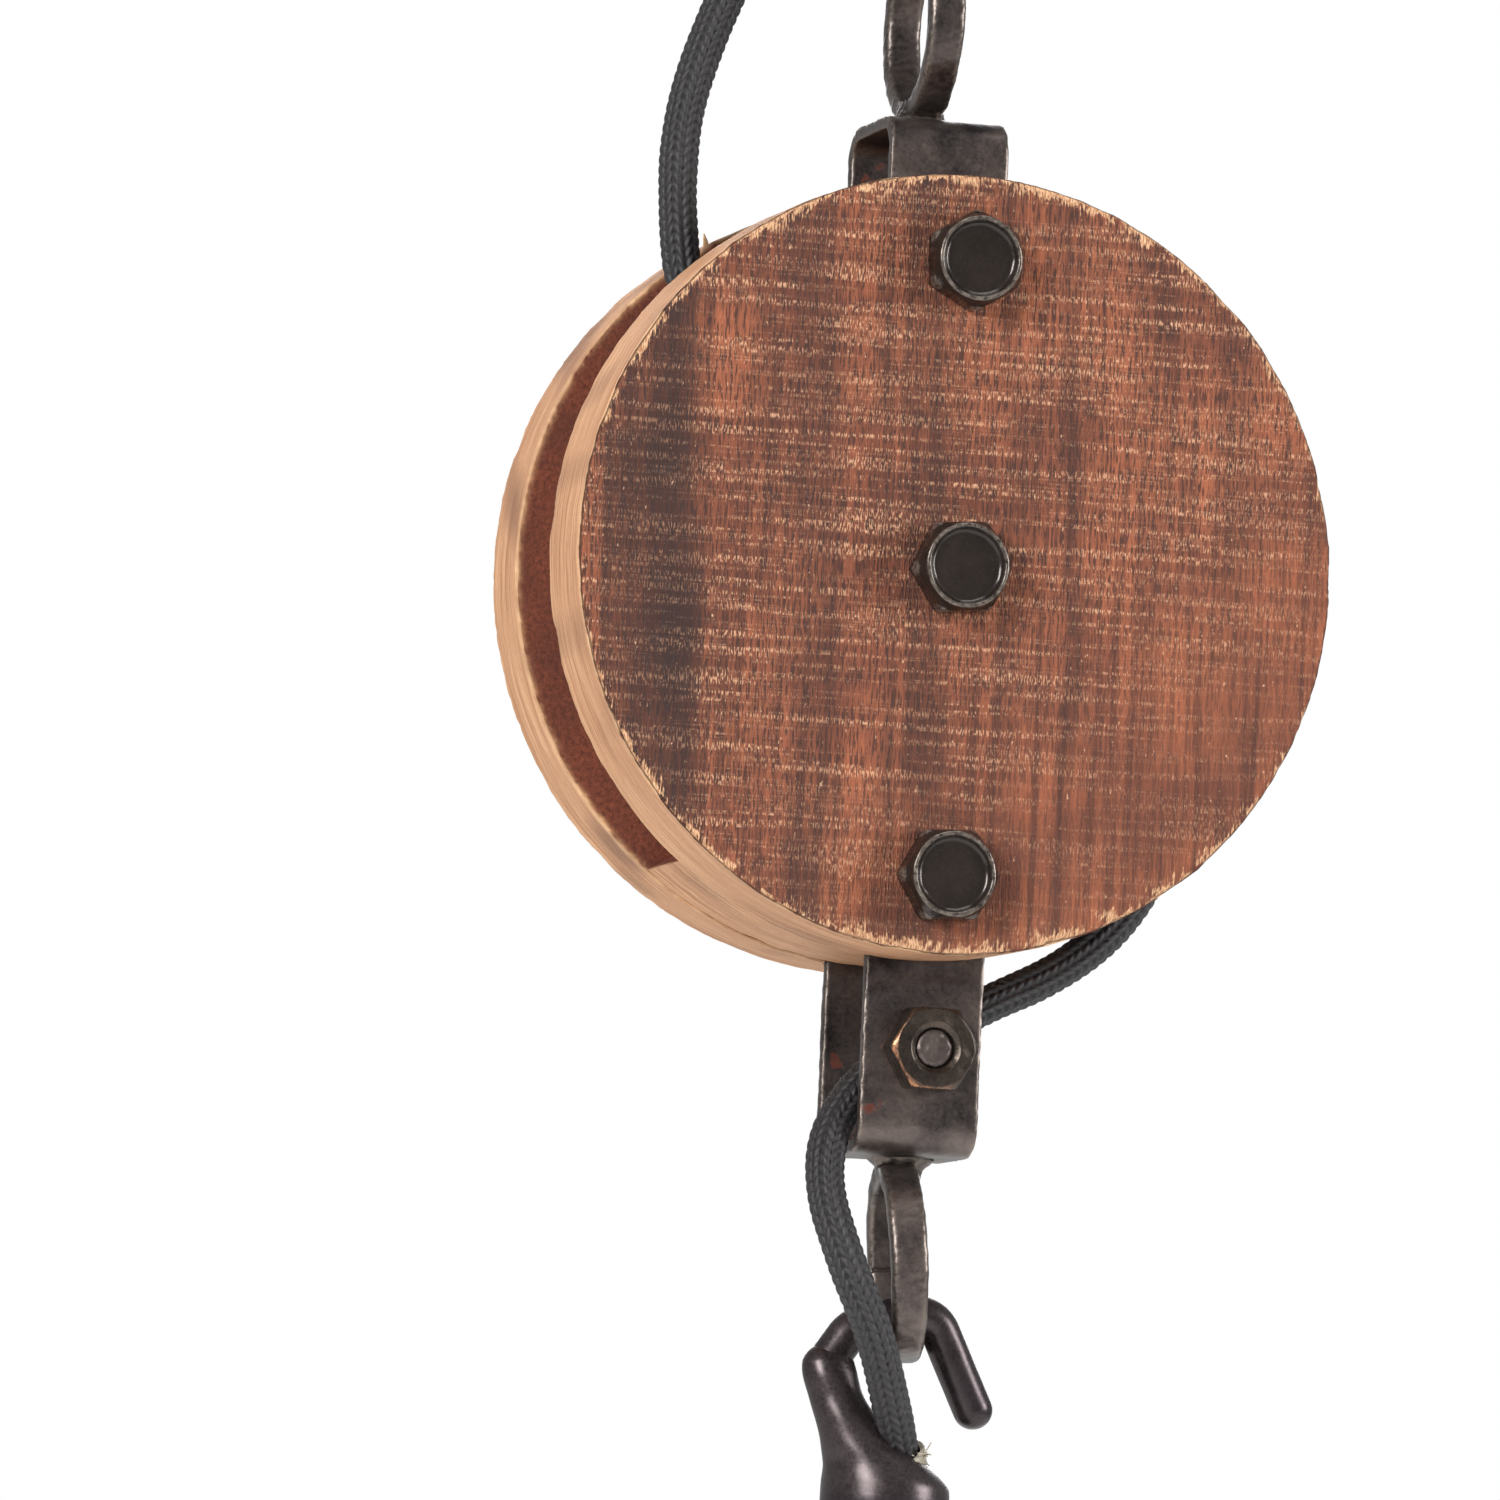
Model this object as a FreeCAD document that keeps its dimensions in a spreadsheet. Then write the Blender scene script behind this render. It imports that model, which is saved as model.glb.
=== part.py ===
"""Ceiling-hung wooden pulley block: parametric model in millimetres.

Frame: +Z up, +X to the right, +Y away from the front cheek's face.
The origin is the centre of the ceiling plate's top face.  Heights in the
routes and offsets below are measured from the block's centre and moved
down by the size "drop".
"""
import FreeCAD, Part
import math
import os

import Sketcher
from FreeCAD import Placement, Rotation, Vector

SIZES = (
    # name, value, what it is
    ("drop", 136.0, "ceiling face to block centre"),
    ("cheek_dia", 120.0, "wooden cheeks and spacers"),
    ("front_cheek_t", 18.0, "front cheek thickness"),
    ("rear_cheek_t", 14.3, "rear cheek thickness"),
    ("gap_t", 20.0, "spacer thickness, the cord groove"),
    ("cheek_edge", 0.6, "worn arris of the wood"),
    ("bolt_low", -48.0, "lowest of the three through-bolts"),
    ("bolt_pitch", 47.25, "spacing of the three through-bolts"),
    ("bolt_dia", 8.0, "through-bolt shank"),
    ("bolt_hole_dia", 8.4, "bolt holes in wood and straps"),
    ("head_flats", 13.8, "bolt head across flats"),
    ("head_h", 5.4, "bolt head height"),
    ("dish_dia", 11.4, "shallow dish in the bolt head"),
    ("dish_depth", 1.0, "depth of that dish"),
    ("nut_bore_dia", 8.04, "thread of the rear nuts"),
    ("bolt_end", 2.0, "thread past the rear nuts"),
    ("nut_flats", 13.0, "rear nuts across flats"),
    ("nut_h", 6.5, "rear nut height"),
    ("washer_dia", 18.0, "rear washer"),
    ("washer_t", 1.6, "rear washer thickness"),
    ("strap_w", 19.0, "strap width"),
    ("strap_t", 2.0, "strap thickness"),
    ("strap_gap", 20.2, "clear width between a strap's legs"),
    ("strap_bend", 5.0, "outer bend radius of the straps"),
    ("rebate_w", 19.6, "width of the strap rebates in the cheeks"),
    ("rebate_t", 2.2, "depth of those rebates"),
    ("rebate_play", 1.0, "rebate past the end of the strap's leg"),
    ("hanger_top", 71.1, "top of the upper strap"),
    ("hanger_x", 0.6, "sideways offset of the upper strap"),
    ("clevis_bottom", -89.8, "bottom of the lower strap"),
    ("clevis_x", 2.3, "sideways offset of the lower strap"),
    ("leg_end", 35.0, "height where both straps' legs end"),
    ("ring_dia", 31.2, "outside of the two welded rings"),
    ("ring_w", 5.7, "ring bar, across the ring's plane"),
    ("ring_t", 3.3, "ring bar, along the ring's radius"),
    ("ring_corner", 1.2, "rounded corners of the ring bar"),
    ("clamp_z", -73.6, "height of the short strap bolt"),
    ("clamp_x", 2.8, "sideways place of the short strap bolt"),
    ("clamp_dia", 7.0, "short strap bolt"),
    ("clamp_hole_dia", 7.2, "its hole and the nut's thread"),
    ("clamp_flats", 12.2, "strap nut across flats"),
    ("clamp_nut_h", 6.0, "strap nut height"),
    ("clamp_head_dia", 12.0, "low round head inside the strap"),
    ("clamp_head_h", 2.2, "height of that head"),
    ("clamp_recess", 0.9, "strap bolt's end below the nut's face"),
    ("sheave_dia", 42.0, "sheave over its flanges"),
    ("sheave_root_dia", 31.4, "bottom of the sheave's groove"),
    ("sheave_w", 15.0, "sheave width"),
    ("bush_dia", 12.0, "sheave bush outside"),
    ("bush_bore_dia", 8.1, "sheave bush bore, 0.05 clear of the bolt"),
    ("bush_len", 19.0, "sheave bush length"),
    ("hook_dia", 6.0, "ceiling hook bar"),
    ("hook_hole_dia", 6.1, "its thread in the nut, washer and plate"),
    ("hook_nut_flats", 10.0, "hook nut across flats"),
    ("hook_nut_h", 5.0, "hook nut height"),
    ("hook_washer_dia", 16.0, "hook washer"),
    ("hook_washer_t", 1.2, "hook washer thickness"),
    ("bar_dia", 6.2, "lower hook bar"),
    ("cord_dia", 6.1, "textile cord"),
    ("plate_dia", 90.0, "ceiling plate"),
    ("plate_t", 3.0, "ceiling plate thickness"),
    ("screw_dia", 5.5, "screw holes of the plate"),
    ("screw_pitch", 60.0, "spacing of the two screw holes"),
    ("gland_x", -23.0, "cord gland, sideways from the centre"),
    ("gland_hole_dia", 10.1, "gland hole in the plate"),
    ("gland_stub_dia", 10.0, "gland's stub in that hole"),
    ("gland_dia", 17.0, "gland body and cap"),
    ("gland_h", 6.0, "gland body height below the plate"),
    ("gland_cap_h", 8.0, "gland cap height"),
    ("gland_bore_dia", 6.9, "gland bore round the cord"),
    ("seal_dia", 11.9, "gland seal outside"),
    ("seal_bore_dia", 6.3, "seal and bush bores round the cord"),
    ("seal_h", 4.8, "gland seal height"),
    ("cap_bore_dia", 16.4, "hollow of the base"),
    ("cap_hollow", 18.5, "depth of that hollow"),
    ("cap_bottom", -160.0, "lower rim of the base"),
    ("plug_dia", 16.3, "plug in the cap's rim"),
    ("plug_t", 3.0, "plug thickness"),
    ("nipple_dia", 10.0, "threaded nipple below the cap"),
    ("nipple_out", 12.0, "length of the nipple below the cap"),
    ("nipple_in", 9.0, "length of the nipple inside the cap"),
    ("nipple_neck_dia", 9.4, "nipple inside the cap"),
    ("nipple_hole_dia", 9.5, "nipple's hole in the plug and nut"),
    ("nipple_bore_dia", 7.4, "nipple bore"),
    ("nipple_nut_flats", 13.6, "nipple nut across flats"),
    ("nipple_nut_h", 4.0, "nipple nut height"),
    ("cord_hole_dia", 7.9, "cord hole in the hook cap"),
    ("cord_hole_len", 22.5, "length of that hole"),
    ("cord_hole_back", 20.0, "start of the hole before the cord's end"),
    ("cord_bush_dia", 7.8, "cord bush outside"),
    ("cord_bush_len", 7.5, "cord bush length"),
    ("cord_bush_in", 12.0, "cord bush from the start of its hole"),
)
VALUE = {name: value for name, value, _ in SIZES}
MID = VALUE["gap_t"] / 2  # the groove's middle plane is y = 0

# rings: place of the centre, turn about Z and lean about Y in degrees
UPPER_RING = ((-1.0, 0.0, 87.1), -2.2, 0.0)
LOWER_RING = ((3.4, 0.0, -105.8), -9.1, -4.6)

# bent bars, centre lines as corner points (x, z, corner radius)
HOOK_ROUTE = ((0.0, 135.5, 0), (0.0, 122.0, 7), (7.0, 112.0, 7), (7.0, 95.6, 8),
              (-9.0, 95.6, 8), (-9.0, 106.1, 0))
BAR_ROUTE = ((-7.4, -122.0, 0), (-3.2, -115.9, 6), (9.2, -112.9, 4.6), (16.5, -127.9, 0))

# hook cap sections from the top: height, left side, right side, depth, middle y
CAP_SECTIONS = ((-119.4, -10.2, -4.4, 5.2, 0.0), (-122.6, -11.2, -2.6, 7.2, -0.2), (-127.8, -9.6, -0.9, 8.2, -0.8),
                (-131.2, -8.6, 2.0, 9.8, -1.2), (-134.6, -7.7, 5.2, 12.2, -1.2),
                (-137.4, -7.0, 9.8, 16.2, -0.5), (-140.0, -7.0, 12.6, 19.3, 0.0),
                (-142.4, -7.02, 13.02, 20.0, 0.0))
CAP_X = 3.0

# cord centre lines (x, y, z); both cords meet inside the groove
CORD_UPPER = ((-23.0, 0.0, 135.0), (-23.0, 0.0, 112.0), (-37.2, 0.0, 80.0), (-40.5, 0.0, 61.0),
              (-36.6, 0.0, 34.0), (-11.4, 0.0, 24.6))
CORD_LOWER = ((-11.4, 0.0, 24.6), (13.8, 0.0, 15.2), (33.0, 0.0, -8.0), (46.0, 0.0, -34.0),
              (35.0, 0.0, -56.0), (6.5, -1.5, -69.5), (-8.6, -5.8, -81.5), (-12.6, -9.5, -93.5),
              (-8.8, -14.0, -107.5), (-1.6, -12.3, -121.0), (6.8, 0.9, -141.4))

doc = FreeCAD.newDocument("pulley_block")
sheet = doc.addObject("Spreadsheet::Sheet", "sizes")
for row, (name, value, note) in enumerate(SIZES, start=1):
    sheet.set(f"A{row}", name)
    sheet.set(f"B{row}", str(value))
    sheet.set(f"C{row}", note)
    sheet.setAlias(f"B{row}", name)
doc.recompute()

nodes = []


def bind(obj, prop, rule):
    """Drive a property by the sheet; a rule names sheet sizes as s.name."""
    obj.setExpression(prop, rule.replace("s.", "<<sizes>>."))


def new_body(label, x=0.0, y=0.0, z=0.0, turn=Rotation()):
    """A named body; z counts from the block's centre."""
    part = doc.addObject("PartDesign::Body", label)
    part.Label = label
    part.Placement = Placement(Vector(x, y, z - VALUE["drop"]), turn)
    nodes.append(part)
    return part


def new_sketch(part, name, plane, at=0.0, offset=None):
    """A sketch on one of the body's own origin planes, moved by at along the world axis."""
    sk = part.newObject("Sketcher::SketchObject", f"{part.Label}_{name}")
    support = next(f for f in part.Origin.OriginFeatures if f.Role == f"{plane}_Plane")
    sk.AttachmentSupport = [(support, "")]
    sk.MapMode = "FlatFace"
    sk.AttachmentOffset = offset or Placement(Vector(0, 0, -at if plane == "XZ" else at), Rotation())
    return sk


def rounded_run(corners, closed):
    """Lines and arcs through corner points (u, v, radius), as (kind, points) in order."""
    count = len(corners)
    ends = []
    for i, (u, v, radius) in enumerate(corners):
        here = Vector(u, v, 0)
        if radius <= 0 or (not closed and i in (0, count - 1)):
            ends.append((here, here, here))
            continue
        before = Vector(*corners[i - 1][:2], 0) - here
        after = Vector(*corners[(i + 1) % count][:2], 0) - here
        half = before.getAngle(after) / 2
        reach = radius / math.tan(half)
        bisector = (before.normalize() + after.normalize()).normalize()
        tip = here + bisector * (radius / math.sin(half) - radius)
        ends.append((here + before * reach, tip, here + after * reach))
    pieces = []
    for i in range(count):
        start, tip, stop = ends[i]
        if (stop - start).Length > 1e-6:
            pieces.append(Part.Arc(start, tip, stop))
        if closed or i < count - 1:
            goal = ends[(i + 1) % count][0]
            if (goal - stop).Length > 1e-6:
                pieces.append(Part.LineSegment(stop, goal))
    return pieces


def outline(sk, corners, closed=True):
    """Add an outline with rounded corners to a sketch."""
    for piece in rounded_run(corners, closed):
        sk.addGeometry(piece, False)


def circle(sk, u, v, name):
    """Add a circle whose diameter is a size of the sheet."""
    index = sk.addGeometry(Part.Circle(Vector(u, v, 0), Vector(0, 0, 1), VALUE[name] / 2), False)
    rule = sk.addConstraint(Sketcher.Constraint("Diameter", index, VALUE[name]))
    bind(sk, f"Constraints[{rule}]", f"s.{name}")


def extrude(part, kind, sk, rule, flip=False, through=False):
    """Pad or pocket a sketch by a length rule."""
    feature = part.newObject(f"PartDesign::{kind}", f"{sk.Label}_{kind.lower()}")
    feature.Profile = sk
    feature.Reversed = flip
    if through:
        feature.Type = "ThroughAll"
    else:
        bind(feature, "Length", rule)
    doc.recompute()
    return feature


def spin(part, kind, sk, axis="V_Axis"):
    """Revolve or groove a sketch about one of its own axes."""
    feature = part.newObject(f"PartDesign::{kind}", f"{sk.Label}_{kind.lower()}")
    feature.Profile = sk
    feature.ReferenceAxis = (sk, [axis])
    doc.recompute()
    return feature


def soften(part, last, kind, amount, wanted):
    """Fillet or chamfer the edges of the last feature that the test picks."""
    names = [f"Edge{i}" for i, e in enumerate(last.Shape.Edges, start=1) if wanted(e)]
    feature = part.newObject(f"PartDesign::{kind}", f"{part.Label}_{kind.lower()}")
    feature.Base = (last, names)
    bind(feature, "Radius" if kind == "Fillet" else "Size", amount)
    doc.recompute()
    return feature


def hexagon(flats):
    """Corners of a hexagon from its size across flats."""
    reach = flats / math.sqrt(3)
    return [(reach * math.cos(math.radians(a)), reach * math.sin(math.radians(a)), 0)
            for a in range(0, 360, 60)]


def chamfer_hexagon(part, flats, low, high, both):
    """Turn the hexagon's corners down at 30 degrees, at the top or at both ends."""
    inner, outer = flats / 2 - 0.1, flats / math.sqrt(3) + 0.5
    fall = (outer - inner) * math.tan(math.radians(30))
    for name, face, way in (("top", high, 1), ("low", low, -1))[: 2 if both else 1]:
        sk = new_sketch(part, f"corner_{name}", "XZ")
        outline(sk, [(inner, face, 0), (outer, face - way * fall, 0), (outer, face + way, 0),
                     (inner, face + way, 0)])
        spin(part, "Groove", sk)


FACE_FRONT = Rotation(Vector(1, 0, 0), 90)  # local +Z looks at -Y
FACE_BACK = Rotation(Vector(1, 0, 0), -90)  # local +Z looks at +Y


def bolt_heights():
    return [VALUE["bolt_low"] + i * VALUE["bolt_pitch"] for i in range(3)]


def make_cheek(label, y, thickness, inner_side):
    """A turned wooden disc with three bolt holes and two strap rebates on its inner side."""
    part = new_body(label, y=y)
    sk = new_sketch(part, "disc", "XZ")
    circle(sk, 0, 0, "cheek_dia")
    last = extrude(part, "Pad", sk, thickness, flip=True)
    last = soften(part, last, "Chamfer", "s.cheek_edge", lambda e: e.Curve.TypeId == "Part::GeomCircle")
    at = VALUE[thickness[2:]] if inner_side > 0 else 0.0
    width, reach = VALUE["rebate_w"] / 2, VALUE["cheek_dia"]
    end = VALUE["leg_end"] - VALUE["rebate_play"]
    for name, x, z0, z1 in (("top", VALUE["hanger_x"], end, reach),
                            ("low", VALUE["clevis_x"], -reach, -end)):
        sk = new_sketch(part, f"rebate_{name}", "XZ", at=at)
        outline(sk, [(x - width, z0, 0), (x + width, z0, 0), (x + width, z1, 0), (x - width, z1, 0)])
        last = extrude(part, "Pocket", sk, "s.rebate_t", flip=inner_side > 0)
    sk = new_sketch(part, "bolt_hole", "XZ")
    circle(sk, 0, VALUE["bolt_low"], "bolt_hole_dia")
    hole = extrude(part, "Pocket", sk, "", through=True)
    row = part.newObject("PartDesign::LinearPattern", f"{label}_bolt_row")
    row.Originals = [hole]
    row.Direction = (sk, ["V_Axis"])
    row.Occurrences = 3
    bind(row, "Length", "2 * s.bolt_pitch")
    part.Tip = row
    doc.recompute()
    return part


def make_spacer(label, corners, bolt_z):
    """A segment of the disc between the cheeks, its rim an arc of the cheeks' size."""
    part = new_body(label, y=-MID)
    radius = VALUE["cheek_dia"] / 2 - 0.3
    x0, x1 = corners[0][0], corners[-1][0]
    sign = math.copysign(1, bolt_z)
    start = Vector(x0, sign * math.sqrt(radius**2 - x0**2), 0)
    stop = Vector(x1, sign * math.sqrt(radius**2 - x1**2), 0)
    sk = new_sketch(part, "segment", "XZ")
    sk.addGeometry(Part.Arc(stop, Vector(0, sign * radius, 0), start), False)
    inner = [start] + [Vector(x, z, 0) for x, z in corners[1:-1]] + [stop]
    for a, b in zip(inner, inner[1:]):
        sk.addGeometry(Part.LineSegment(a, b), False)
    last = extrude(part, "Pad", sk, "s.gap_t", flip=True)
    sk = new_sketch(part, "bolt_hole", "XZ")
    circle(sk, 0, bolt_z, "bolt_hole_dia")
    extrude(part, "Pocket", sk, "", through=True)
    return part


def make_strap(label, x, bend_z, sign, clamp):
    """A U of flat bar: its web at bend_z, its legs running to the leg end inside the wood."""
    part = new_body(label, x=x)
    t, half = VALUE["strap_t"], VALUE["strap_gap"] / 2
    web, end = bend_z, sign * VALUE["leg_end"]
    inner, bend = web - sign * t, VALUE["strap_bend"]
    sk = new_sketch(part, "profile", "YZ", at=-VALUE["strap_w"] / 2)
    outline(sk, [(-half - t, end, 0), (-half - t, web, bend), (half + t, web, bend), (half + t, end, 0),
                 (half, end, 0), (half, inner, bend - t), (-half, inner, bend - t), (-half, end, 0)])
    extrude(part, "Pad", sk, "s.strap_w")
    sk = new_sketch(part, "bolt_hole", "XZ", at=-VALUE["gap_t"])
    circle(sk, -x, bolt_heights()[2 if sign > 0 else 0], "bolt_hole_dia")
    extrude(part, "Pocket", sk, "2 * s.gap_t")
    if clamp:
        sk = new_sketch(part, "clamp_hole", "XZ", at=-VALUE["gap_t"])
        circle(sk, VALUE["clamp_x"] - x, VALUE["clamp_z"], "clamp_hole_dia")
        extrude(part, "Pocket", sk, "s.gap_t")
    return part


def make_ring(label, seat):
    """A round ring of rounded flat bar, its axis along local X."""
    (x, y, z), turn, lean = seat
    part = new_body(label, x, y, z, Rotation(Vector(0, 0, 1), turn) * Rotation(Vector(0, 1, 0), lean))
    half, outer = VALUE["ring_w"] / 2, VALUE["ring_dia"] / 2
    inner, corner = outer - VALUE["ring_t"], VALUE["ring_corner"]
    sk = new_sketch(part, "section", "XY")
    outline(sk, [(u, v, corner) for u, v in ((-half, inner), (half, inner), (half, outer), (-half, outer))])
    spin(part, "Revolution", sk, "H_Axis")
    return part


def make_weld(label, ring, x, face_z, sign, foot, neck, height):
    """The weld that spreads from a ring onto its strap, cut to the ring's shape."""
    part = new_body(f"{label}_bead", x=x, z=face_z)
    nodes.remove(part)
    profiles = []
    for name, at, (wide, deep) in (("foot", 0.0, foot), ("neck", sign * height, neck)):
        sk = new_sketch(part, name, "XY", at=at)
        u, v = wide / 2, deep / 2
        outline(sk, [(-u, -v, v * 0.6), (u, -v, v * 0.6), (u, v, v * 0.6), (-u, v, v * 0.6)])
        profiles.append(sk)
    loft = part.newObject("PartDesign::AdditiveLoft", f"{label}_loft")
    loft.Profile = profiles[0]
    loft.Sections = profiles[1:]
    doc.recompute()
    return cut(label, part, ring)


def cut(label, base, tool):
    """Base minus tool, as a node of its own."""
    node = doc.addObject("Part::Cut", label)
    node.Label = label
    node.Base, node.Tool = base, tool
    nodes.append(node)
    doc.recompute()
    return node


def make_bolt(label, z, turn):
    """Through-bolt: dished hexagon head on the front face, plain shank to the rear nut."""
    part = new_body(label, y=-MID - VALUE["front_cheek_t"], z=z, turn=FACE_FRONT * Rotation(Vector(0, 0, 1), turn))
    sk = new_sketch(part, "head", "XY")
    outline(sk, hexagon(VALUE["head_flats"]))
    extrude(part, "Pad", sk, "s.head_h")
    sk = new_sketch(part, "shank", "XY")
    circle(sk, 0, 0, "bolt_dia")
    reach = "s.front_cheek_t + s.gap_t + s.rear_cheek_t + s.washer_t + s.nut_h + s.bolt_end"
    extrude(part, "Pad", sk, reach, flip=True)
    chamfer_hexagon(part, VALUE["head_flats"], 0.0, VALUE["head_h"], both=False)
    sk = new_sketch(part, "dish", "XY", at=VALUE["head_h"])
    circle(sk, 0, 0, "dish_dia")
    extrude(part, "Pocket", sk, "s.dish_depth")
    return part


def make_nut(label, place, turn, flats, height, bore):
    """Hexagon nut with both faces chamfered; its local +Z is its outer side."""
    part = new_body(label, *place, turn)
    sk = new_sketch(part, "hexagon", "XY")
    outline(sk, hexagon(VALUE[flats]))
    circle(sk, 0, 0, bore)
    extrude(part, "Pad", sk, f"s.{height}")
    chamfer_hexagon(part, VALUE[flats], 0.0, VALUE[height], both=True)
    return part


def make_tube(label, place, turn, outside, inside, length):
    """A washer, bush or tube: two circles padded along local +Z."""
    part = new_body(label, *place, turn)
    sk = new_sketch(part, "section", "XY")
    circle(sk, 0, 0, outside)
    circle(sk, 0, 0, inside)
    extrude(part, "Pad", sk, f"s.{length}")
    return part


def make_lathe(label, place, turn, profile):
    """A turned piece: a closed half profile (radius, height, corner radius) about local Z."""
    part = new_body(label, *place, turn)
    sk = new_sketch(part, "profile", "XZ")
    outline(sk, profile)
    spin(part, "Revolution", sk)
    return part


def make_bent_bar(label, route, name, round_ends):
    """A round bar swept along a route in the X-Z plane, with ball ends where asked."""
    part = new_body(label)
    spine = new_sketch(part, "route", "XZ")
    outline(spine, route, closed=False)
    start = Vector(route[0][0], 0, route[0][1])
    heading = Vector(route[1][0], 0, route[1][1]) - start
    place = Placement(start, Rotation(Vector(0, 0, 1), heading))
    section = new_sketch(part, "section", "XY", offset=place)
    circle(section, 0, 0, name)
    pipe = part.newObject("PartDesign::AdditivePipe", f"{label}_pipe")
    pipe.Profile = section
    pipe.Spine = (spine, [f"Edge{i + 1}" for i in range(spine.GeometryCount)])
    doc.recompute()
    floor = next(f for f in part.Origin.OriginFeatures if f.Role == "XY_Plane")
    for i in round_ends:
        ball = part.newObject("PartDesign::AdditiveSphere", f"{label}_ball{i}")
        ball.AttachmentSupport = [(floor, "")]
        ball.MapMode = "FlatFace"
        ball.AttachmentOffset = Placement(Vector(route[i][0], 0, route[i][1]), Rotation())
        bind(ball, "Radius", f"s.{name} / 2")
        doc.recompute()
    return part


def make_cord(label, route):
    """A round cord along straight runs joined by tangent arcs."""
    points = [Vector(x, y, z - VALUE["drop"]) for x, y, z in route]
    edges, here, radii = [], points[0], []
    for i in range(1, len(points) - 1):
        back, on = points[i - 1] - points[i], points[i + 1] - points[i]
        reach = 0.45 * min(back.Length, on.Length)
        half = back.getAngle(on) / 2
        radius = reach * math.tan(half)
        radii.append(radius)
        back.normalize()
        on.normalize()
        tip = points[i] + (back + on).normalize() * (radius / math.sin(half) - radius)
        start, stop = points[i] + back * reach, points[i] + on * reach
        edges += [Part.LineSegment(here, start).toShape(), Part.Arc(start, tip, stop).toShape()]
        here = stop
    edges.append(Part.LineSegment(here, points[-1]).toShape())
    path = Part.Wire(edges)
    section = Part.Wire([Part.makeCircle(VALUE["cord_dia"] / 2, points[0], points[1] - points[0])])
    solid = path.makePipeShell([section], True, False)
    expected = math.pi * VALUE["cord_dia"]**2 / 4 * path.Length
    print(f"{label}: length {path.Length:.1f} mm, radii {[round(r, 1) for r in radii]}, "
          f"volume ratio {solid.Volume / expected:.4f}")
    if abs(solid.Volume / expected - 1) > 0.01:
        raise RuntimeError(f"{label}: its tube doesn't fill its path")
    node = doc.addObject("Part::Feature", label)
    node.Label = label
    node.Shape = solid
    nodes.append(node)
    return node


# ceiling: plate, hook, its nut and washer, cord gland
plate = new_body("ceiling_plate", z=VALUE["drop"] - VALUE["plate_t"])
sketch = new_sketch(plate, "disc", "XY")
circle(sketch, 0, 0, "plate_dia")
disc = extrude(plate, "Pad", sketch, "s.plate_t")
soften(plate, disc, "Fillet", "s.plate_t / 2",
       lambda e: e.Curve.TypeId == "Part::GeomCircle" and e.CenterOfMass.z < 1)
sketch = new_sketch(plate, "holes", "XY", at=VALUE["plate_t"])
circle(sketch, 0, VALUE["screw_pitch"] / 2, "screw_dia")
circle(sketch, 0, -VALUE["screw_pitch"] / 2, "screw_dia")
circle(sketch, 0, 0, "hook_hole_dia")
circle(sketch, VALUE["gland_x"], 0, "gland_hole_dia")
extrude(plate, "Pocket", sketch, "", through=True)

make_bent_bar("ceiling_hook", HOOK_ROUTE, "hook_dia", round_ends=(-1,))
UNDER = VALUE["drop"] - VALUE["plate_t"]
make_tube("hook_washer", (0, 0, UNDER - VALUE["hook_washer_t"]), Rotation(), "hook_washer_dia", "hook_hole_dia",
          "hook_washer_t")
make_nut("hook_nut", (0, 0, UNDER - VALUE["hook_washer_t"] - VALUE["hook_nut_h"]), Rotation(),
         "hook_nut_flats", "hook_nut_h", "hook_hole_dia")

bore, stub, rim = VALUE["gland_bore_dia"] / 2, VALUE["gland_stub_dia"] / 2, VALUE["gland_dia"] / 2
low, cap_h, pocket = -VALUE["gland_h"], VALUE["gland_cap_h"], VALUE["seal_dia"] / 2 + 0.05
make_lathe("gland_body", (VALUE["gland_x"], 0, UNDER), Rotation(), [
    (bore, VALUE["plate_t"] - 0.2, 0), (stub, VALUE["plate_t"] - 0.2, 0), (stub, 0.0, 0), (rim, 0.0, 0.5),
    (rim, low, 0.5), (bore, low, 0)])
make_lathe("gland_cap", (VALUE["gland_x"], 0, UNDER + low), Rotation(), [
    (pocket, 0.0, 0), (rim, 0.0, 0.4), (rim, -3.0, 0.4), (6.2, -cap_h, 2.0), (bore, -cap_h, 0.4),
    (bore, -VALUE["seal_h"] - 0.2, 0), (pocket, -VALUE["seal_h"] - 0.2, 0)])
make_tube("gland_seal", (VALUE["gland_x"], 0, UNDER + low - VALUE["seal_h"] - 0.1), Rotation(), "seal_dia",
          "seal_bore_dia", "seal_h")

# block: upper ring and strap, wood, bolts, lower strap and ring
bolts = bolt_heights()
upper_ring = make_ring("hanger_ring", UPPER_RING)
make_weld("hanger_weld", upper_ring, UPPER_RING[0][0], VALUE["hanger_top"], 1, (9.4, 8.0), (5.6, 6.6), 2.2)
make_strap("hanger_strap", VALUE["hanger_x"], VALUE["hanger_top"], 1, clamp=False)
make_cheek("front_cheek", -MID - VALUE["front_cheek_t"], "s.front_cheek_t", inner_side=1)
make_cheek("rear_cheek", MID, "s.rear_cheek_t", inner_side=-1)
make_spacer("top_spacer", ((-27, 0), (-22, 39), (22, 39), (30, 0)), bolts[2])
make_spacer("bottom_spacer", ((-36.8, 0), (-15, -34), (18, -34), (27, 0)), bolts[0])
for place, z, turn in (("bottom", bolts[0], 2), ("centre", bolts[1], 5), ("top", bolts[2], 32)):
    make_bolt(f"bolt_{place}", z, turn)
    rear = MID + VALUE["rear_cheek_t"]
    make_tube(f"washer_{place}", (0, rear, z), FACE_BACK, "washer_dia", "bolt_hole_dia", "washer_t")
    make_nut(f"nut_{place}", (0, rear + VALUE["washer_t"], z), FACE_BACK * Rotation(Vector(0, 0, 1), 2 * turn),
             "nut_flats", "nut_h", "nut_bore_dia")
make_strap("lower_strap", VALUE["clevis_x"], VALUE["clevis_bottom"], -1, clamp=True)
leg_face = VALUE["strap_gap"] / 2
clamp_place = (VALUE["clamp_x"], -leg_face, VALUE["clamp_z"])
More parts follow.
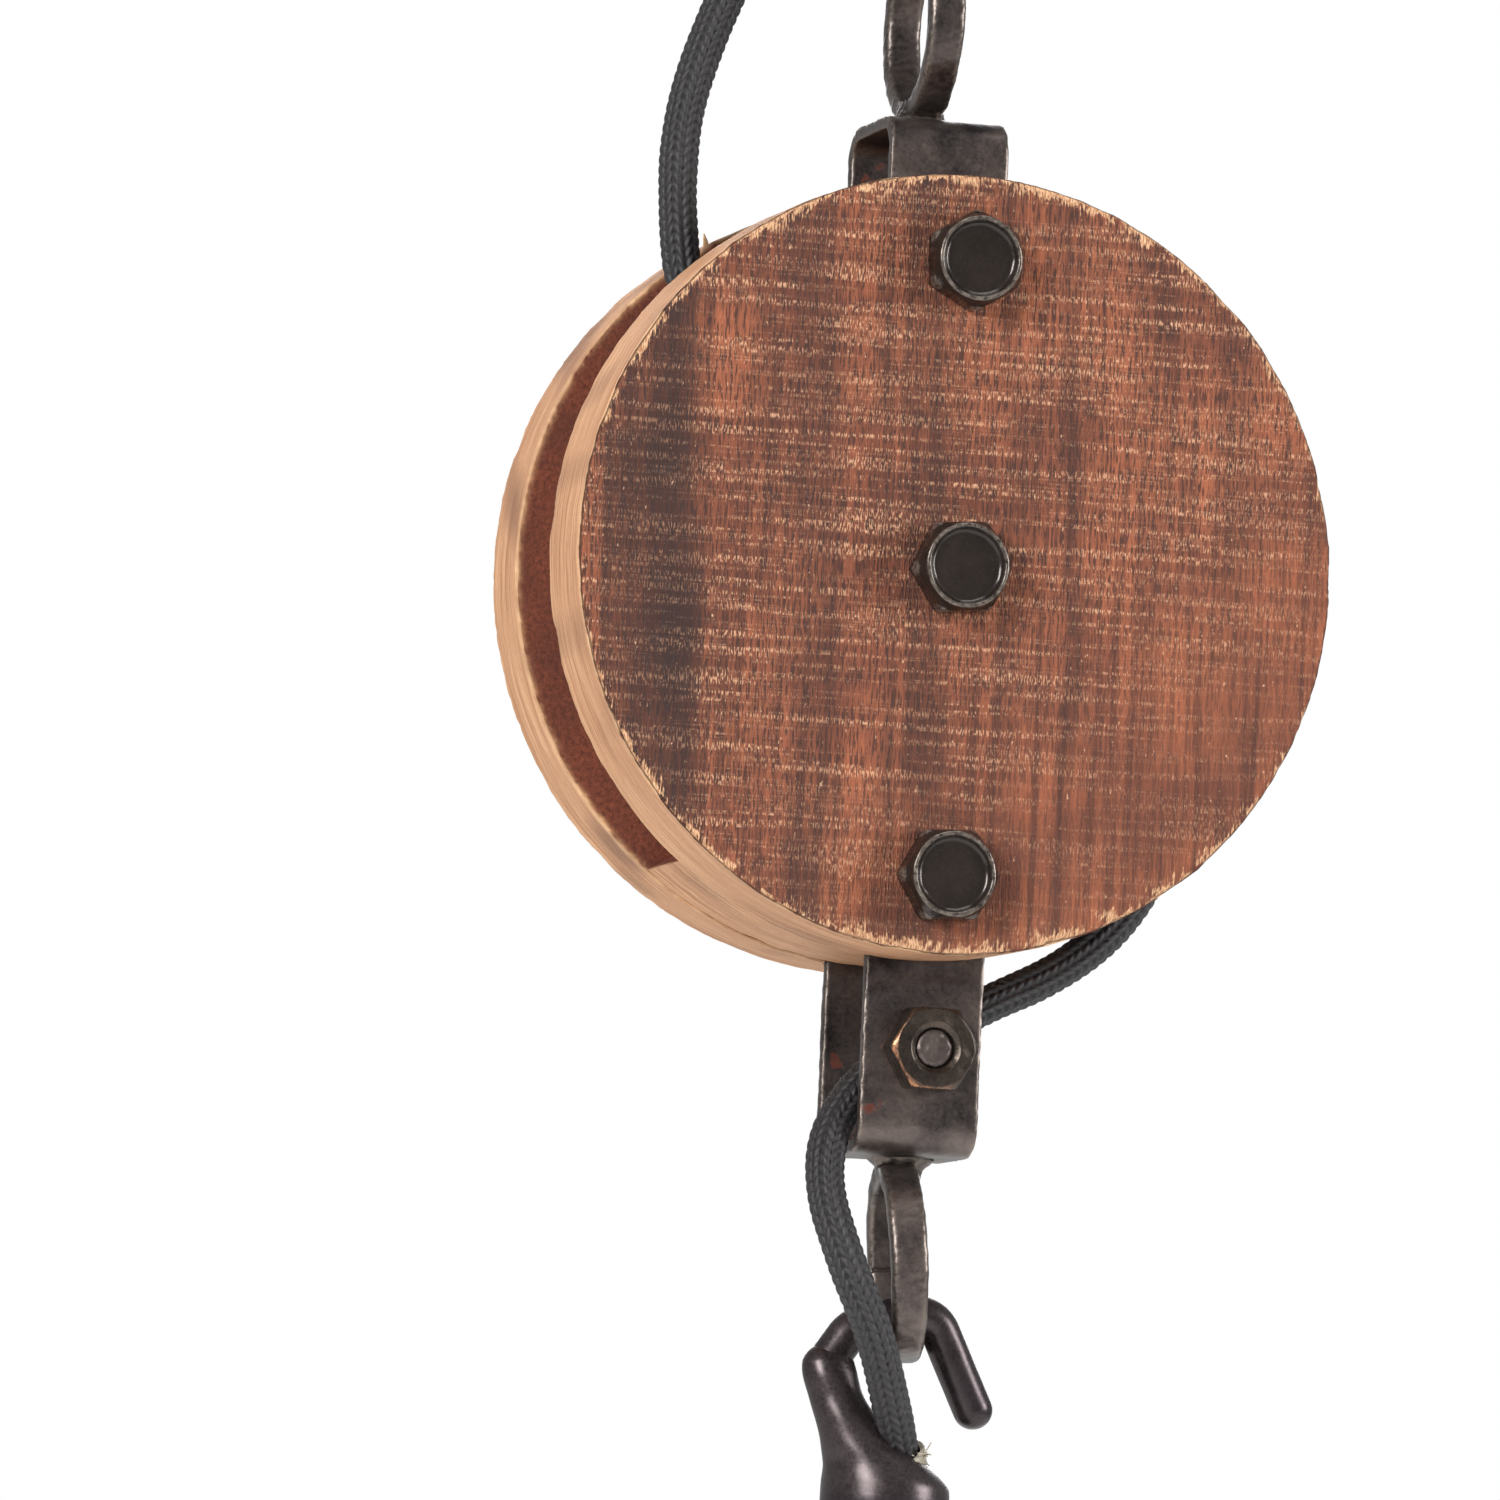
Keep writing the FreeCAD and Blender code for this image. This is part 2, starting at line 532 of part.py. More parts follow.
shank, head, head_h = VALUE["clamp_dia"] / 2, VALUE["clamp_head_dia"] / 2, VALUE["clamp_head_h"]
reach = VALUE["strap_t"] + VALUE["clamp_nut_h"] - VALUE["clamp_recess"]
make_lathe("strap_bolt", clamp_place, FACE_FRONT, [
    (0, reach, 0), (shank, reach, 0.4), (shank, 0, 0), (head, 0, 0.4), (head, -head_h, 0.9), (0, -head_h, 0)])
make_nut("strap_nut", (VALUE["clamp_x"], -leg_face - VALUE["strap_t"], VALUE["clamp_z"]), FACE_FRONT,
         "clamp_flats", "clamp_nut_h", "clamp_hole_dia")
lower_ring = make_ring("lower_ring", LOWER_RING)
make_weld("lower_weld", lower_ring, 3.1, VALUE["clevis_bottom"], -1, (10.6, 8.4), (5.5, 7.4), 2.8)

# sheave on the centre bolt
wide, root, rim = VALUE["sheave_w"] / 2, VALUE["sheave_root_dia"] / 2, VALUE["sheave_dia"] / 2
hub = VALUE["bush_dia"] / 2 + 0.02
make_lathe("sheave", (0, 0, bolts[1]), FACE_BACK, [
    (hub, -wide, 0), (rim, -wide, 0.8), (rim, -4.6, 0.8), (root, -2.2, 2.0), (root, 2.2, 2.0),
    (rim, 4.6, 0.8), (rim, wide, 0.8), (hub, wide, 0)])
make_tube("sheave_bush", (0, -VALUE["bush_len"] / 2, bolts[1]), FACE_BACK, "bush_dia", "bush_bore_dia", "bush_len")

# hook cap: bar, tapered arm with round hollow base, cord bush, plug, nipple and nut
bar = make_bent_bar("hook_bar", BAR_ROUTE, "bar_dia", round_ends=(0, -1))
arm = new_body("hook_cap_blank")
nodes.remove(arm)
sections = []
for i, (z, left, right, deep, y) in enumerate(CAP_SECTIONS):
    sketch = new_sketch(arm, f"section{i}", "XY", at=z)
    middle = Vector((left + right) / 2, y, 0)
    sketch.addGeometry(Part.Ellipse(middle + Vector((right - left) / 2, 0, 0), middle + Vector(0, deep / 2, 0),
                                    middle), False)
    sections.append(sketch)
loft = arm.newObject("PartDesign::AdditiveLoft", "hook_cap_loft")
loft.Profile = sections[0]
loft.Sections = sections[1:]
doc.recompute()
z, left, right, deep, y = CAP_SECTIONS[-1]
sketch = new_sketch(arm, "base", "XY", at=z)
middle = Vector(CAP_X, 0, 0)
sketch.addGeometry(Part.Ellipse(middle + Vector((right - left) / 2, 0, 0), middle + Vector(0, deep / 2, 0), middle),
                   False)
extrude(arm, "Pad", sketch, f"{z} - s.cap_bottom", flip=True)
sketch = new_sketch(arm, "hollow", "XY", at=VALUE["cap_bottom"])
circle(sketch, CAP_X, 0, "cap_bore_dia")
extrude(arm, "Pocket", sketch, "s.cap_hollow", flip=True)
blank = cut("hook_cap_seated", arm, bar)
nodes.remove(blank)
heading = Vector(*CORD_LOWER[-1]) - Vector(*CORD_LOWER[-2])
entry = Vector(*CORD_LOWER[-1]) - Vector(0, 0, VALUE["drop"]) - heading.normalize() * VALUE["cord_hole_back"]
way = Rotation(Vector(0, 0, 1), heading)
drill = doc.addObject("Part::Cylinder", "cord_drill")
bind(drill, "Radius", "s.cord_hole_dia / 2")
bind(drill, "Height", "s.cord_hole_len")
drill.Placement = Placement(entry, way)
cut("hook_cap", blank, drill)
bush = new_body("cord_bush")
bush.Placement = Placement(entry + heading * VALUE["cord_bush_in"], way)
sketch = new_sketch(bush, "section", "XY")
circle(sketch, 0, 0, "cord_bush_dia")
circle(sketch, 0, 0, "seal_bore_dia")
extrude(bush, "Pad", sketch, "s.cord_bush_len")
make_tube("cap_plug", (CAP_X, 0, VALUE["cap_bottom"]), Rotation(), "plug_dia", "nipple_hole_dia",
          "plug_t")
thread, neck, bore = (VALUE[f"nipple_{name}dia"] / 2 for name in ("", "neck_", "bore_"))
make_lathe("cap_nipple", (CAP_X, 0, VALUE["cap_bottom"]), Rotation(), [
    (bore, -VALUE["nipple_out"], 0), (thread, -VALUE["nipple_out"], 0), (thread, 0.0, 0), (neck, 0.0, 0),
    (neck, VALUE["nipple_in"], 0), (bore, VALUE["nipple_in"], 0)])
make_nut("nipple_nut", (CAP_X, 0, VALUE["cap_bottom"] + VALUE["plug_t"]), Rotation(), "nipple_nut_flats",
         "nipple_nut_h", "nipple_hole_dia")

make_cord("cord_upper", CORD_UPPER)
make_cord("cord_lower", CORD_LOWER)

doc.recompute()
os.makedirs("parts", exist_ok=True)
for obj in doc.Objects:
    if {"Invalid", "Error"} & set(obj.State):
        raise RuntimeError(f"{obj.Label}: {obj.State}")
for node in nodes:
    if node.Shape.isNull() or not node.Shape.isValid() or not node.Shape.Solids:
        raise RuntimeError(f"{node.Label}: no sound solid")
    print(f"{node.Label}: {len(node.Shape.Solids)} solid, {node.Shape.Volume:.0f} mm3")
    node.Shape.exportStep(f"parts/{node.Label}.step")
print(f"{len(nodes)} nodes written")
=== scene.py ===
"""Looks of a wooden pulley block that hangs from a ceiling plate by a textile cord and steel rings.

Every piece is a mesh or curve in metres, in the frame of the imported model: +Z up, +X right, +Y away
from the front.  Pieces are computed as grids: rows run along a piece and columns run round it.
"""
import logging
import math
from dataclasses import dataclass, field
from enum import Enum
from typing import Optional, Sequence

import bpy
import numpy as np
from mathutils import Matrix, Vector


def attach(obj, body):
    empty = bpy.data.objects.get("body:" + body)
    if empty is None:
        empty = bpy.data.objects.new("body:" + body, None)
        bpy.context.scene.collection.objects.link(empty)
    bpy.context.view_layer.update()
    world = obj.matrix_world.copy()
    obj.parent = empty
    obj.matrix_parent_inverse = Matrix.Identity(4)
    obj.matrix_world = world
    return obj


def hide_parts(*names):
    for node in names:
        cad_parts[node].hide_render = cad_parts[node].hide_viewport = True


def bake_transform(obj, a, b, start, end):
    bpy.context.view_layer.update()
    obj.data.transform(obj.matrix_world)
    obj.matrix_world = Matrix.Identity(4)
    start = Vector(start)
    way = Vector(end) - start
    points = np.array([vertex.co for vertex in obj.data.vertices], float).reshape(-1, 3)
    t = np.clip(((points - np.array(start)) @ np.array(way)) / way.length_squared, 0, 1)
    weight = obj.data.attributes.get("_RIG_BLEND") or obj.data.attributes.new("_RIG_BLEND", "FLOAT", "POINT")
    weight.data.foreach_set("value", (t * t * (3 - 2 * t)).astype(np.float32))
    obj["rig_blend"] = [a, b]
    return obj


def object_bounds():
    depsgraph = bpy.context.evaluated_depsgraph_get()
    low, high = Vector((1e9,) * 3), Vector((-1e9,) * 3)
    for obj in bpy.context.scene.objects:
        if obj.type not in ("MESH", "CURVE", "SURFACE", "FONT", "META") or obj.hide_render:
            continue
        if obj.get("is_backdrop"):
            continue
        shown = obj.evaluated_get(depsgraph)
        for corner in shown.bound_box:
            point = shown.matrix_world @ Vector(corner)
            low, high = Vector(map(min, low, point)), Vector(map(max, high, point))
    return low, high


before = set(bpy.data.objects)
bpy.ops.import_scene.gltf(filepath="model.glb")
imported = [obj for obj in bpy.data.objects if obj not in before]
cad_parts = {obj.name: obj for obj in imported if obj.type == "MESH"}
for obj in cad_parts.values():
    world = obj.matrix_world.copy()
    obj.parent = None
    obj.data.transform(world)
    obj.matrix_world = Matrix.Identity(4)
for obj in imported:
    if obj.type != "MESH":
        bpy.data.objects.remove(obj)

log = logging.getLogger("pulley_block")
MM = 0.001
DROP = 136.0  # from the ceiling face down to the block's centre, mm


class Body(Enum):
    """The bodies that pieces ride on."""

    CEILING = "ceiling"
    BLOCK = "block"
    SHEAVE = "sheave"
    CAP = "cap"


def linear(code: str) -> tuple[float, float, float, float]:
    """Turn a hex colour into a linear one.

    Args:
        code: six hex digits.
    Returns:
        Linear red, green, blue and an alpha of 1.
    """
    parts = np.array([int(code[i:i + 2], 16) for i in (0, 2, 4)]) / 255
    values = np.where(parts <= 0.04045, parts / 12.92, ((parts + 0.055) / 1.055) ** 2.4)
    return (*values.tolist(), 1.0)


def ripple(points: np.ndarray, wavelength: float, seed: int, waves: int = 7) -> np.ndarray:
    """Smooth repeatable unevenness: the mean of sine waves in seeded directions.

    Args:
        points: (..., 3) points in millimetres.
        wavelength: typical length of a wave in millimetres.
        seed: picks the directions and phases.
        waves: how many waves are averaged.
    Returns:
        Values of about -1 to 1, one for each point.
    """
    rng = np.random.default_rng(seed)
    directions = rng.normal(size=(waves, 3))
    directions /= np.linalg.norm(directions, axis=1, keepdims=True)
    pitch = 2 * math.pi / (wavelength * rng.uniform(0.6, 1.6, waves))
    phases = rng.uniform(0, 2 * math.pi, waves)
    total = np.sin(points @ directions.T * pitch + phases).sum(-1)
    return total / math.sqrt(waves) * 0.8


def unit(vectors: np.ndarray) -> np.ndarray:
    """Scale vectors to length one.

    Args:
        vectors: (..., 3) vectors.
    Returns:
        The unit vectors.
    """
    return vectors / np.linalg.norm(vectors, axis=-1, keepdims=True)


def rounded(corners: Sequence[tuple[float, float, float]], closed: bool = False, steps: int = 6) -> np.ndarray:
    """Sample a plane outline whose corners are rounded by tangent arcs.

    Args:
        corners: (u, v, corner radius) in order.
        closed: whether the outline returns to its start.
        steps: points on each rounded corner.
    Returns:
        (n, 2) points in order.
    """
    places = np.array([c[:2] for c in corners], float)
    out = []
    for i, (*_, radius) in enumerate(corners):
        if radius <= 0 or (not closed and i in (0, len(corners) - 1)):
            out.append(places[i][None])
            continue
        back = places[i - 1] - places[i]
        onward = places[(i + 1) % len(corners)] - places[i]
        back, onward = back / np.hypot(*back), onward / np.hypot(*onward)
        half = math.acos(np.clip(back @ onward, -1, 1)) / 2
        start = places[i] + back * radius / math.tan(half)
        centre = places[i] + (back + onward) / np.hypot(*(back + onward)) * radius / math.sin(half)
        first = start - centre
        turn = (math.pi - 2 * half) * np.sign(back[1] * onward[0] - back[0] * onward[1])
        angles = np.linspace(0, turn, steps)
        cos, sin = np.cos(angles)[:, None], np.sin(angles)[:, None]
        out.append(centre + first * cos + np.array([-first[1], first[0]]) * sin)
    return np.concatenate(out)


def evenly(path: np.ndarray, step: float) -> np.ndarray:
    """Space points evenly along a line.

    Args:
        path: (n, k) points.
        step: distance between the new points.
    Returns:
        Points at even distances, the first and last kept.
    """
    reach = np.concatenate([[0], np.cumsum(np.linalg.norm(np.diff(path, axis=0), axis=1))])
    count = max(2, int(round(reach[-1] / step)) + 1)
    at = np.linspace(0, reach[-1], count)
    return np.stack([np.interp(at, reach, path[:, k]) for k in range(path.shape[1])], -1)


def smooth_table(at: np.ndarray, knots: np.ndarray, values: np.ndarray) -> np.ndarray:
    """Read a table through a smooth curve: cubic pieces whose slopes are the table's own.

    Args:
        at: where to read.
        knots: rising positions of the table's rows.
        values: (rows, k) table.
    Returns:
        (len(at), k) values.
    """
    slopes = np.gradient(values, knots, axis=0)
    i = np.clip(np.searchsorted(knots, at) - 1, 0, len(knots) - 2)
    span = (knots[i + 1] - knots[i])[:, None]
    t = (at[:, None] - knots[i][:, None]) / span
    return ((2 * t**3 - 3 * t**2 + 1) * values[i] + (t**3 - 2 * t**2 + t) * span * slopes[i]
            + (3 * t**2 - 2 * t**3) * values[i + 1] + (t**3 - t**2) * span * slopes[i + 1])


@dataclass
class Surface:
    """A tube-like grid in millimetres; heights count from the block's centre."""

    name: str
    points: np.ndarray
    ring: bool = False
    bands: Optional[np.ndarray] = None
    attributes: dict[str, np.ndarray] = field(default_factory=dict)
    sharp: float = 42.0

    def build(self, materials: Sequence[bpy.types.Material], body: Optional[Body],
              stands_for: Sequence[str] = (), slot: str = "") -> bpy.types.Object:
        """Make the mesh object, closed by a face at each end unless its rows form a ring.

        Args:
            materials: the finishes that bands picks from.
            body: what the piece rides on, or None if it is blended later.
            stands_for: CAD nodes that it replaces.
            slot: the record's material slot; it is not used.
        Returns:
            The object.
        """
        rows, columns = self.points.shape[:2]
        index = np.arange(rows * columns).reshape(rows, columns)
        near = index if self.ring else index[:-1]
        far = np.roll(index, -1, 0) if self.ring else index[1:]
        quads = np.stack([near, np.roll(near, -1, 1), np.roll(far, -1, 1), far], -1).reshape(-1, 4)
        flat = self.points.reshape(-1, 3)
        a, b, c, d = (flat[quads[:, k]] for k in range(4))
        volume = np.einsum("ij,ij->i", np.cross(a, b), c).sum() + np.einsum("ij,ij->i", np.cross(a, c), d).sum()
        for edge in [] if self.ring else [flat[index[0]][::-1], flat[index[-1]]]:
            volume += np.einsum("ij,ij->i", np.cross(edge, np.roll(edge, -1, 0)), edge.mean(0)[None]).sum()
        faces = quads.tolist() + ([] if self.ring else [index[0][::-1].tolist(), index[-1].tolist()])
        if volume < 0:
            faces = [face[::-1] for face in faces]
        mesh = bpy.data.meshes.new(self.name)
        mesh.from_pydata(((flat - [0, 0, DROP]) * MM).tolist(), [], faces)
        for name, values in self.attributes.items():
            values = np.asarray(values, np.float32)
            kind = "FLOAT_VECTOR" if values.shape[-1] == 3 and values.ndim == 3 else "FLOAT"
            layer = mesh.attributes.new(name, kind, "POINT")
            layer.data.foreach_set("vector" if kind == "FLOAT_VECTOR" else "value", values.ravel())
        for material in materials:
            mesh.materials.append(material)
        if self.bands is not None:
            per_face = np.broadcast_to(self.bands, (rows, columns))[:len(near)].ravel()
            per_face = np.append(per_face, [] if self.ring else [per_face[0], per_face[-1]])
            mesh.polygons.foreach_set("material_index", per_face.astype(np.int32))
        mesh.shade_smooth()
        mesh.set_sharp_from_angle(angle=math.radians(self.sharp))
        mesh.update()
        piece = bpy.data.objects.new(self.name, mesh)
        bpy.context.scene.collection.objects.link(piece)
        if body:
            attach(piece, body.value)
        if stands_for:
            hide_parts(*stands_for)
        log.info("%s: %d faces", self.name, len(faces))
        return piece


# ---------------------------------------------------------------- finishes


class Tree:
    """Short calls that add nodes to one material or node group."""

    def __init__(self, tree: bpy.types.NodeTree) -> None:
        """Args: tree: the node tree to add to."""
        self.tree = tree

    def add(self, kind: str, **settings) -> bpy.types.Node:
        """Add a node.

        Args:
            kind: its type, without the ShaderNode prefix.
            settings: properties to set.
        Returns:
            The node.
        """
        node = self.tree.nodes.new(f"ShaderNode{kind}")
        for key, value in settings.items():
            setattr(node, key, value)
        return node

    def feed(self, socket: bpy.types.NodeSocket, value) -> None:
        """Link a socket into an input, or set the input's value.

        Args:
            socket: the input.
            value: an output socket, a number, a vector or a colour.
        """
        if isinstance(value, bpy.types.NodeSocket):
            self.tree.links.new(value, socket)
        else:
            socket.default_value = value

    def stretch(self, vector: bpy.types.NodeSocket, scale: tuple[float, float, float]) -> bpy.types.NodeSocket:
        """Multiply a coordinate by a scale on each axis.

        Args:
            vector: the coordinate.
            scale: the three factors.
        Returns:
            The stretched coordinate.
        """
        node = self.add("VectorMath", operation="MULTIPLY")
        self.feed(node.inputs[0], vector)
        self.feed(node.inputs[1], scale)
        return node.outputs[0]

    def noise(self, vector: bpy.types.NodeSocket, scale: float = 1.0, detail: float = 4.0,
              roughness: float = 0.55) -> bpy.types.NodeSocket:
        """Add a noise texture.

        Args:
            vector: its coordinate.
            scale: waves per unit.
            detail: octaves.
            roughness: strength of the finer octaves.
        Returns:
            The factor output.
        """
        node = self.add("TexNoise")
        for name, value in (("Vector", vector), ("Scale", scale), ("Detail", detail), ("Roughness", roughness)):
            self.feed(node.inputs[name], value)
        return node.outputs["Fac"]

    def math(self, operation: str, first, second=0.0, clamp: bool = False) -> bpy.types.NodeSocket:
        """Add a math node.

        Args:
            operation: such as ADD.
            first: its first input.
            second: its second input.
            clamp: keep the result from 0 to 1.
        Returns:
            The result.
        """
        node = self.add("Math", operation=operation, use_clamp=clamp)
        self.feed(node.inputs[0], first)
        self.feed(node.inputs[1], second)
        return node.outputs[0]

    def remap(self, value: bpy.types.NodeSocket, low: float, high: float, to_low: float = 0.0,
              to_high: float = 1.0) -> bpy.types.NodeSocket:
        """Move a range of values to another, held at its ends.

        Args:
            value: the input.
            low: start of the range.
            high: end of the range.
            to_low: result at low.
            to_high: result at high.
        Returns:
            The moved value.
        """
        node = self.add("MapRange", clamp=True)
        for i, part in enumerate((value, low, high, to_low, to_high)):
            self.feed(node.inputs[i], part)
        return node.outputs[0]

    def mix(self, factor, first, second) -> bpy.types.NodeSocket:
        """Mix two colours.

        Args:
            factor: 0 for the first, 1 for the second.
            first: a colour or socket.
            second: a colour or socket.
        Returns:
            The mixed colour.
        """
        node = self.add("Mix", data_type="RGBA")
        self.feed(node.inputs[0], factor)
        self.feed(node.inputs[6], first)
        self.feed(node.inputs[7], second)
        return node.outputs[2]

    def bump(self, height: bpy.types.NodeSocket, depth: float, strength: float = 1.0,
             normal: Optional[bpy.types.NodeSocket] = None) -> bpy.types.NodeSocket:
        """Turn a height into a normal.

        Args:
            height: 0 to 1.
            depth: real depth in millimetres.
            strength: share of the effect.
            normal: an earlier bump to build on.
        Returns:
            The normal.
        """
        node = self.add("Bump")
        self.feed(node.inputs["Strength"], strength)
        self.feed(node.inputs["Distance"], depth * MM)
        self.feed(node.inputs["Height"], height)
        if normal:
            self.feed(node.inputs["Normal"], normal)
        return node.outputs[0]


class MaterialTree(Tree):
    """A new material with a Principled shader."""

    def __init__(self, name: str, **uniform: float) -> None:
        """Args: name: the material's name. uniform: shader sockets that are the same all over."""
        self.material = bpy.data.materials.new(name)
        self.material.use_nodes = True
        super().__init__(self.material.node_tree)
        self.tree.nodes.clear()
        self.shader = self.add("BsdfPrincipled")
        self.feed(self.add("OutputMaterial").inputs["Surface"], self.shader.outputs[0])
        for key, value in uniform.items():
            self.shader.inputs[key.replace("_", " ")].default_value = value

    def attribute(self, name: str) -> bpy.types.NodeSocket:
        """Read a mesh attribute.

        Args:
            name: its name.
        Returns:
            The vector output for grain and weave, and the factor output for the others.
        """
        node = self.add("Attribute", attribute_name=name)
        return node.outputs["Vector" if name in ("grain", "weave") else "Fac"]

    def millimetres(self) -> bpy.types.NodeSocket:
        """Returns: Object coordinates in millimetres."""
        return self.stretch(self.add("TexCoord").outputs["Object"], (1000, 1000, 1000))

    def finish(self, colour, roughness, normal: Optional[bpy.types.NodeSocket] = None) -> bpy.types.Material:
        """Feed the shader and give back the material.

        Args:
            colour: base colour.
            roughness: roughness.
            normal: bumped normal.
        Returns:
            The material.
        """
        self.feed(self.shader.inputs["Base Color"], colour)
        self.feed(self.shader.inputs["Roughness"], roughness)
        if normal:
            self.feed(self.shader.inputs["Normal"], normal)
        return self.material


def patina_group() -> bpy.types.NodeTree:
    """A shared group: blotchy metal with stains, worn edges, and a fine height.

    Returns:
        The node group, made once.
    """
    if "Patina" in bpy.data.node_groups:
        return bpy.data.node_groups["Patina"]
    group = bpy.data.node_groups.new("Patina", "ShaderNodeTree")
    face = group.interface
    for name, kind in (("Vector", "NodeSocketVector"), ("Deep", "NodeSocketColor"), ("Pale", "NodeSocketColor"),
                       ("Stain", "NodeSocketColor"), ("Bare", "NodeSocketColor"), ("Stained", "NodeSocketFloat"),
                       ("Wear", "NodeSocketFloat"), ("Gloss", "NodeSocketFloat")):
        face.new_socket(name, in_out="INPUT", socket_type=kind)
    for name, kind in (("Colour", "NodeSocketColor"), ("Roughness", "NodeSocketFloat"),
                       ("Height", "NodeSocketFloat")):
        face.new_socket(name, in_out="OUTPUT", socket_type=kind)
    t = Tree(group)
    given = group.nodes.new("NodeGroupInput").outputs
    result = group.nodes.new("NodeGroupOutput").inputs
    cloud = t.noise(given["Vector"], 0.11, 5, 0.6)
    grit = t.noise(given["Vector"], 1.6, 5, 0.7)
    tone = t.remap(t.math("ADD", t.math("MULTIPLY", cloud, 0.75), t.math("MULTIPLY", grit, 0.25)), 0.36, 0.66)
    colour = t.mix(tone, given["Deep"], given["Pale"])
    spots = t.noise(given["Vector"], 0.23, 3, 0.75)
    limit = t.math("SUBTRACT", 0.86, t.math("MULTIPLY", given["Stained"], 0.4))
    stained = t.math("MULTIPLY", t.math("SUBTRACT", spots, limit), 14.0, clamp=True)
    colour = t.mix(t.math("MULTIPLY", stained, 0.85), colour, given["Stain"])
    rub = t.math("MULTIPLY", given["Wear"], t.remap(grit, 0.35, 0.62), clamp=True)
    colour = t.mix(rub, colour, given["Bare"])
    t.feed(result["Colour"], colour)
    rough = t.math("ADD", given["Gloss"], t.remap(grit, 0.3, 0.7, -0.07, 0.1))
    t.feed(result["Roughness"], t.math("ADD", rough, t.math("MULTIPLY", stained, 0.25), clamp=True))
    t.feed(result["Height"], t.math("ADD", t.math("MULTIPLY", cloud, 0.5), t.math("MULTIPLY", grit, 0.5)))
    return group


@dataclass(frozen=True)
class MetalFinish:
    """A dark metal with blotches, stains and worn edges."""

    name: str
    deep: str
    pale: str
    stain: str = "7a3a28"
    bare: str = "8a7f74"
    stained: float = 0.2
    gloss: float = 0.4
    metallic: float = 0.6
    depth: float = 0.05

    def material(self) -> bpy.types.Material:
        """Returns: the material."""
        tree = MaterialTree(self.name, Metallic=self.metallic)
        node = tree.add("Group", node_tree=patina_group())
        feeds = {"Vector": tree.millimetres(), "Deep": linear(self.deep), "Pale": linear(self.pale),
                 "Stain": linear(self.stain), "Bare": linear(self.bare),
                 "Stained": tree.math("ADD", tree.attribute("rust"), self.stained),
                 "Wear": tree.attribute("wear_and_painted_light"), "Gloss": self.gloss}
        for key, value in feeds.items():
            tree.feed(node.inputs[key], value)
        normal = tree.bump(node.outputs["Height"], self.depth)
        return tree.finish(node.outputs["Colour"], node.outputs["Roughness"], normal)


class WoodCut(Enum):
    """The three surfaces of the sawn and stained wood."""

    FACE = "wood_face"
    RIM = "wood_rim"
    GROOVE = "wood_groove"


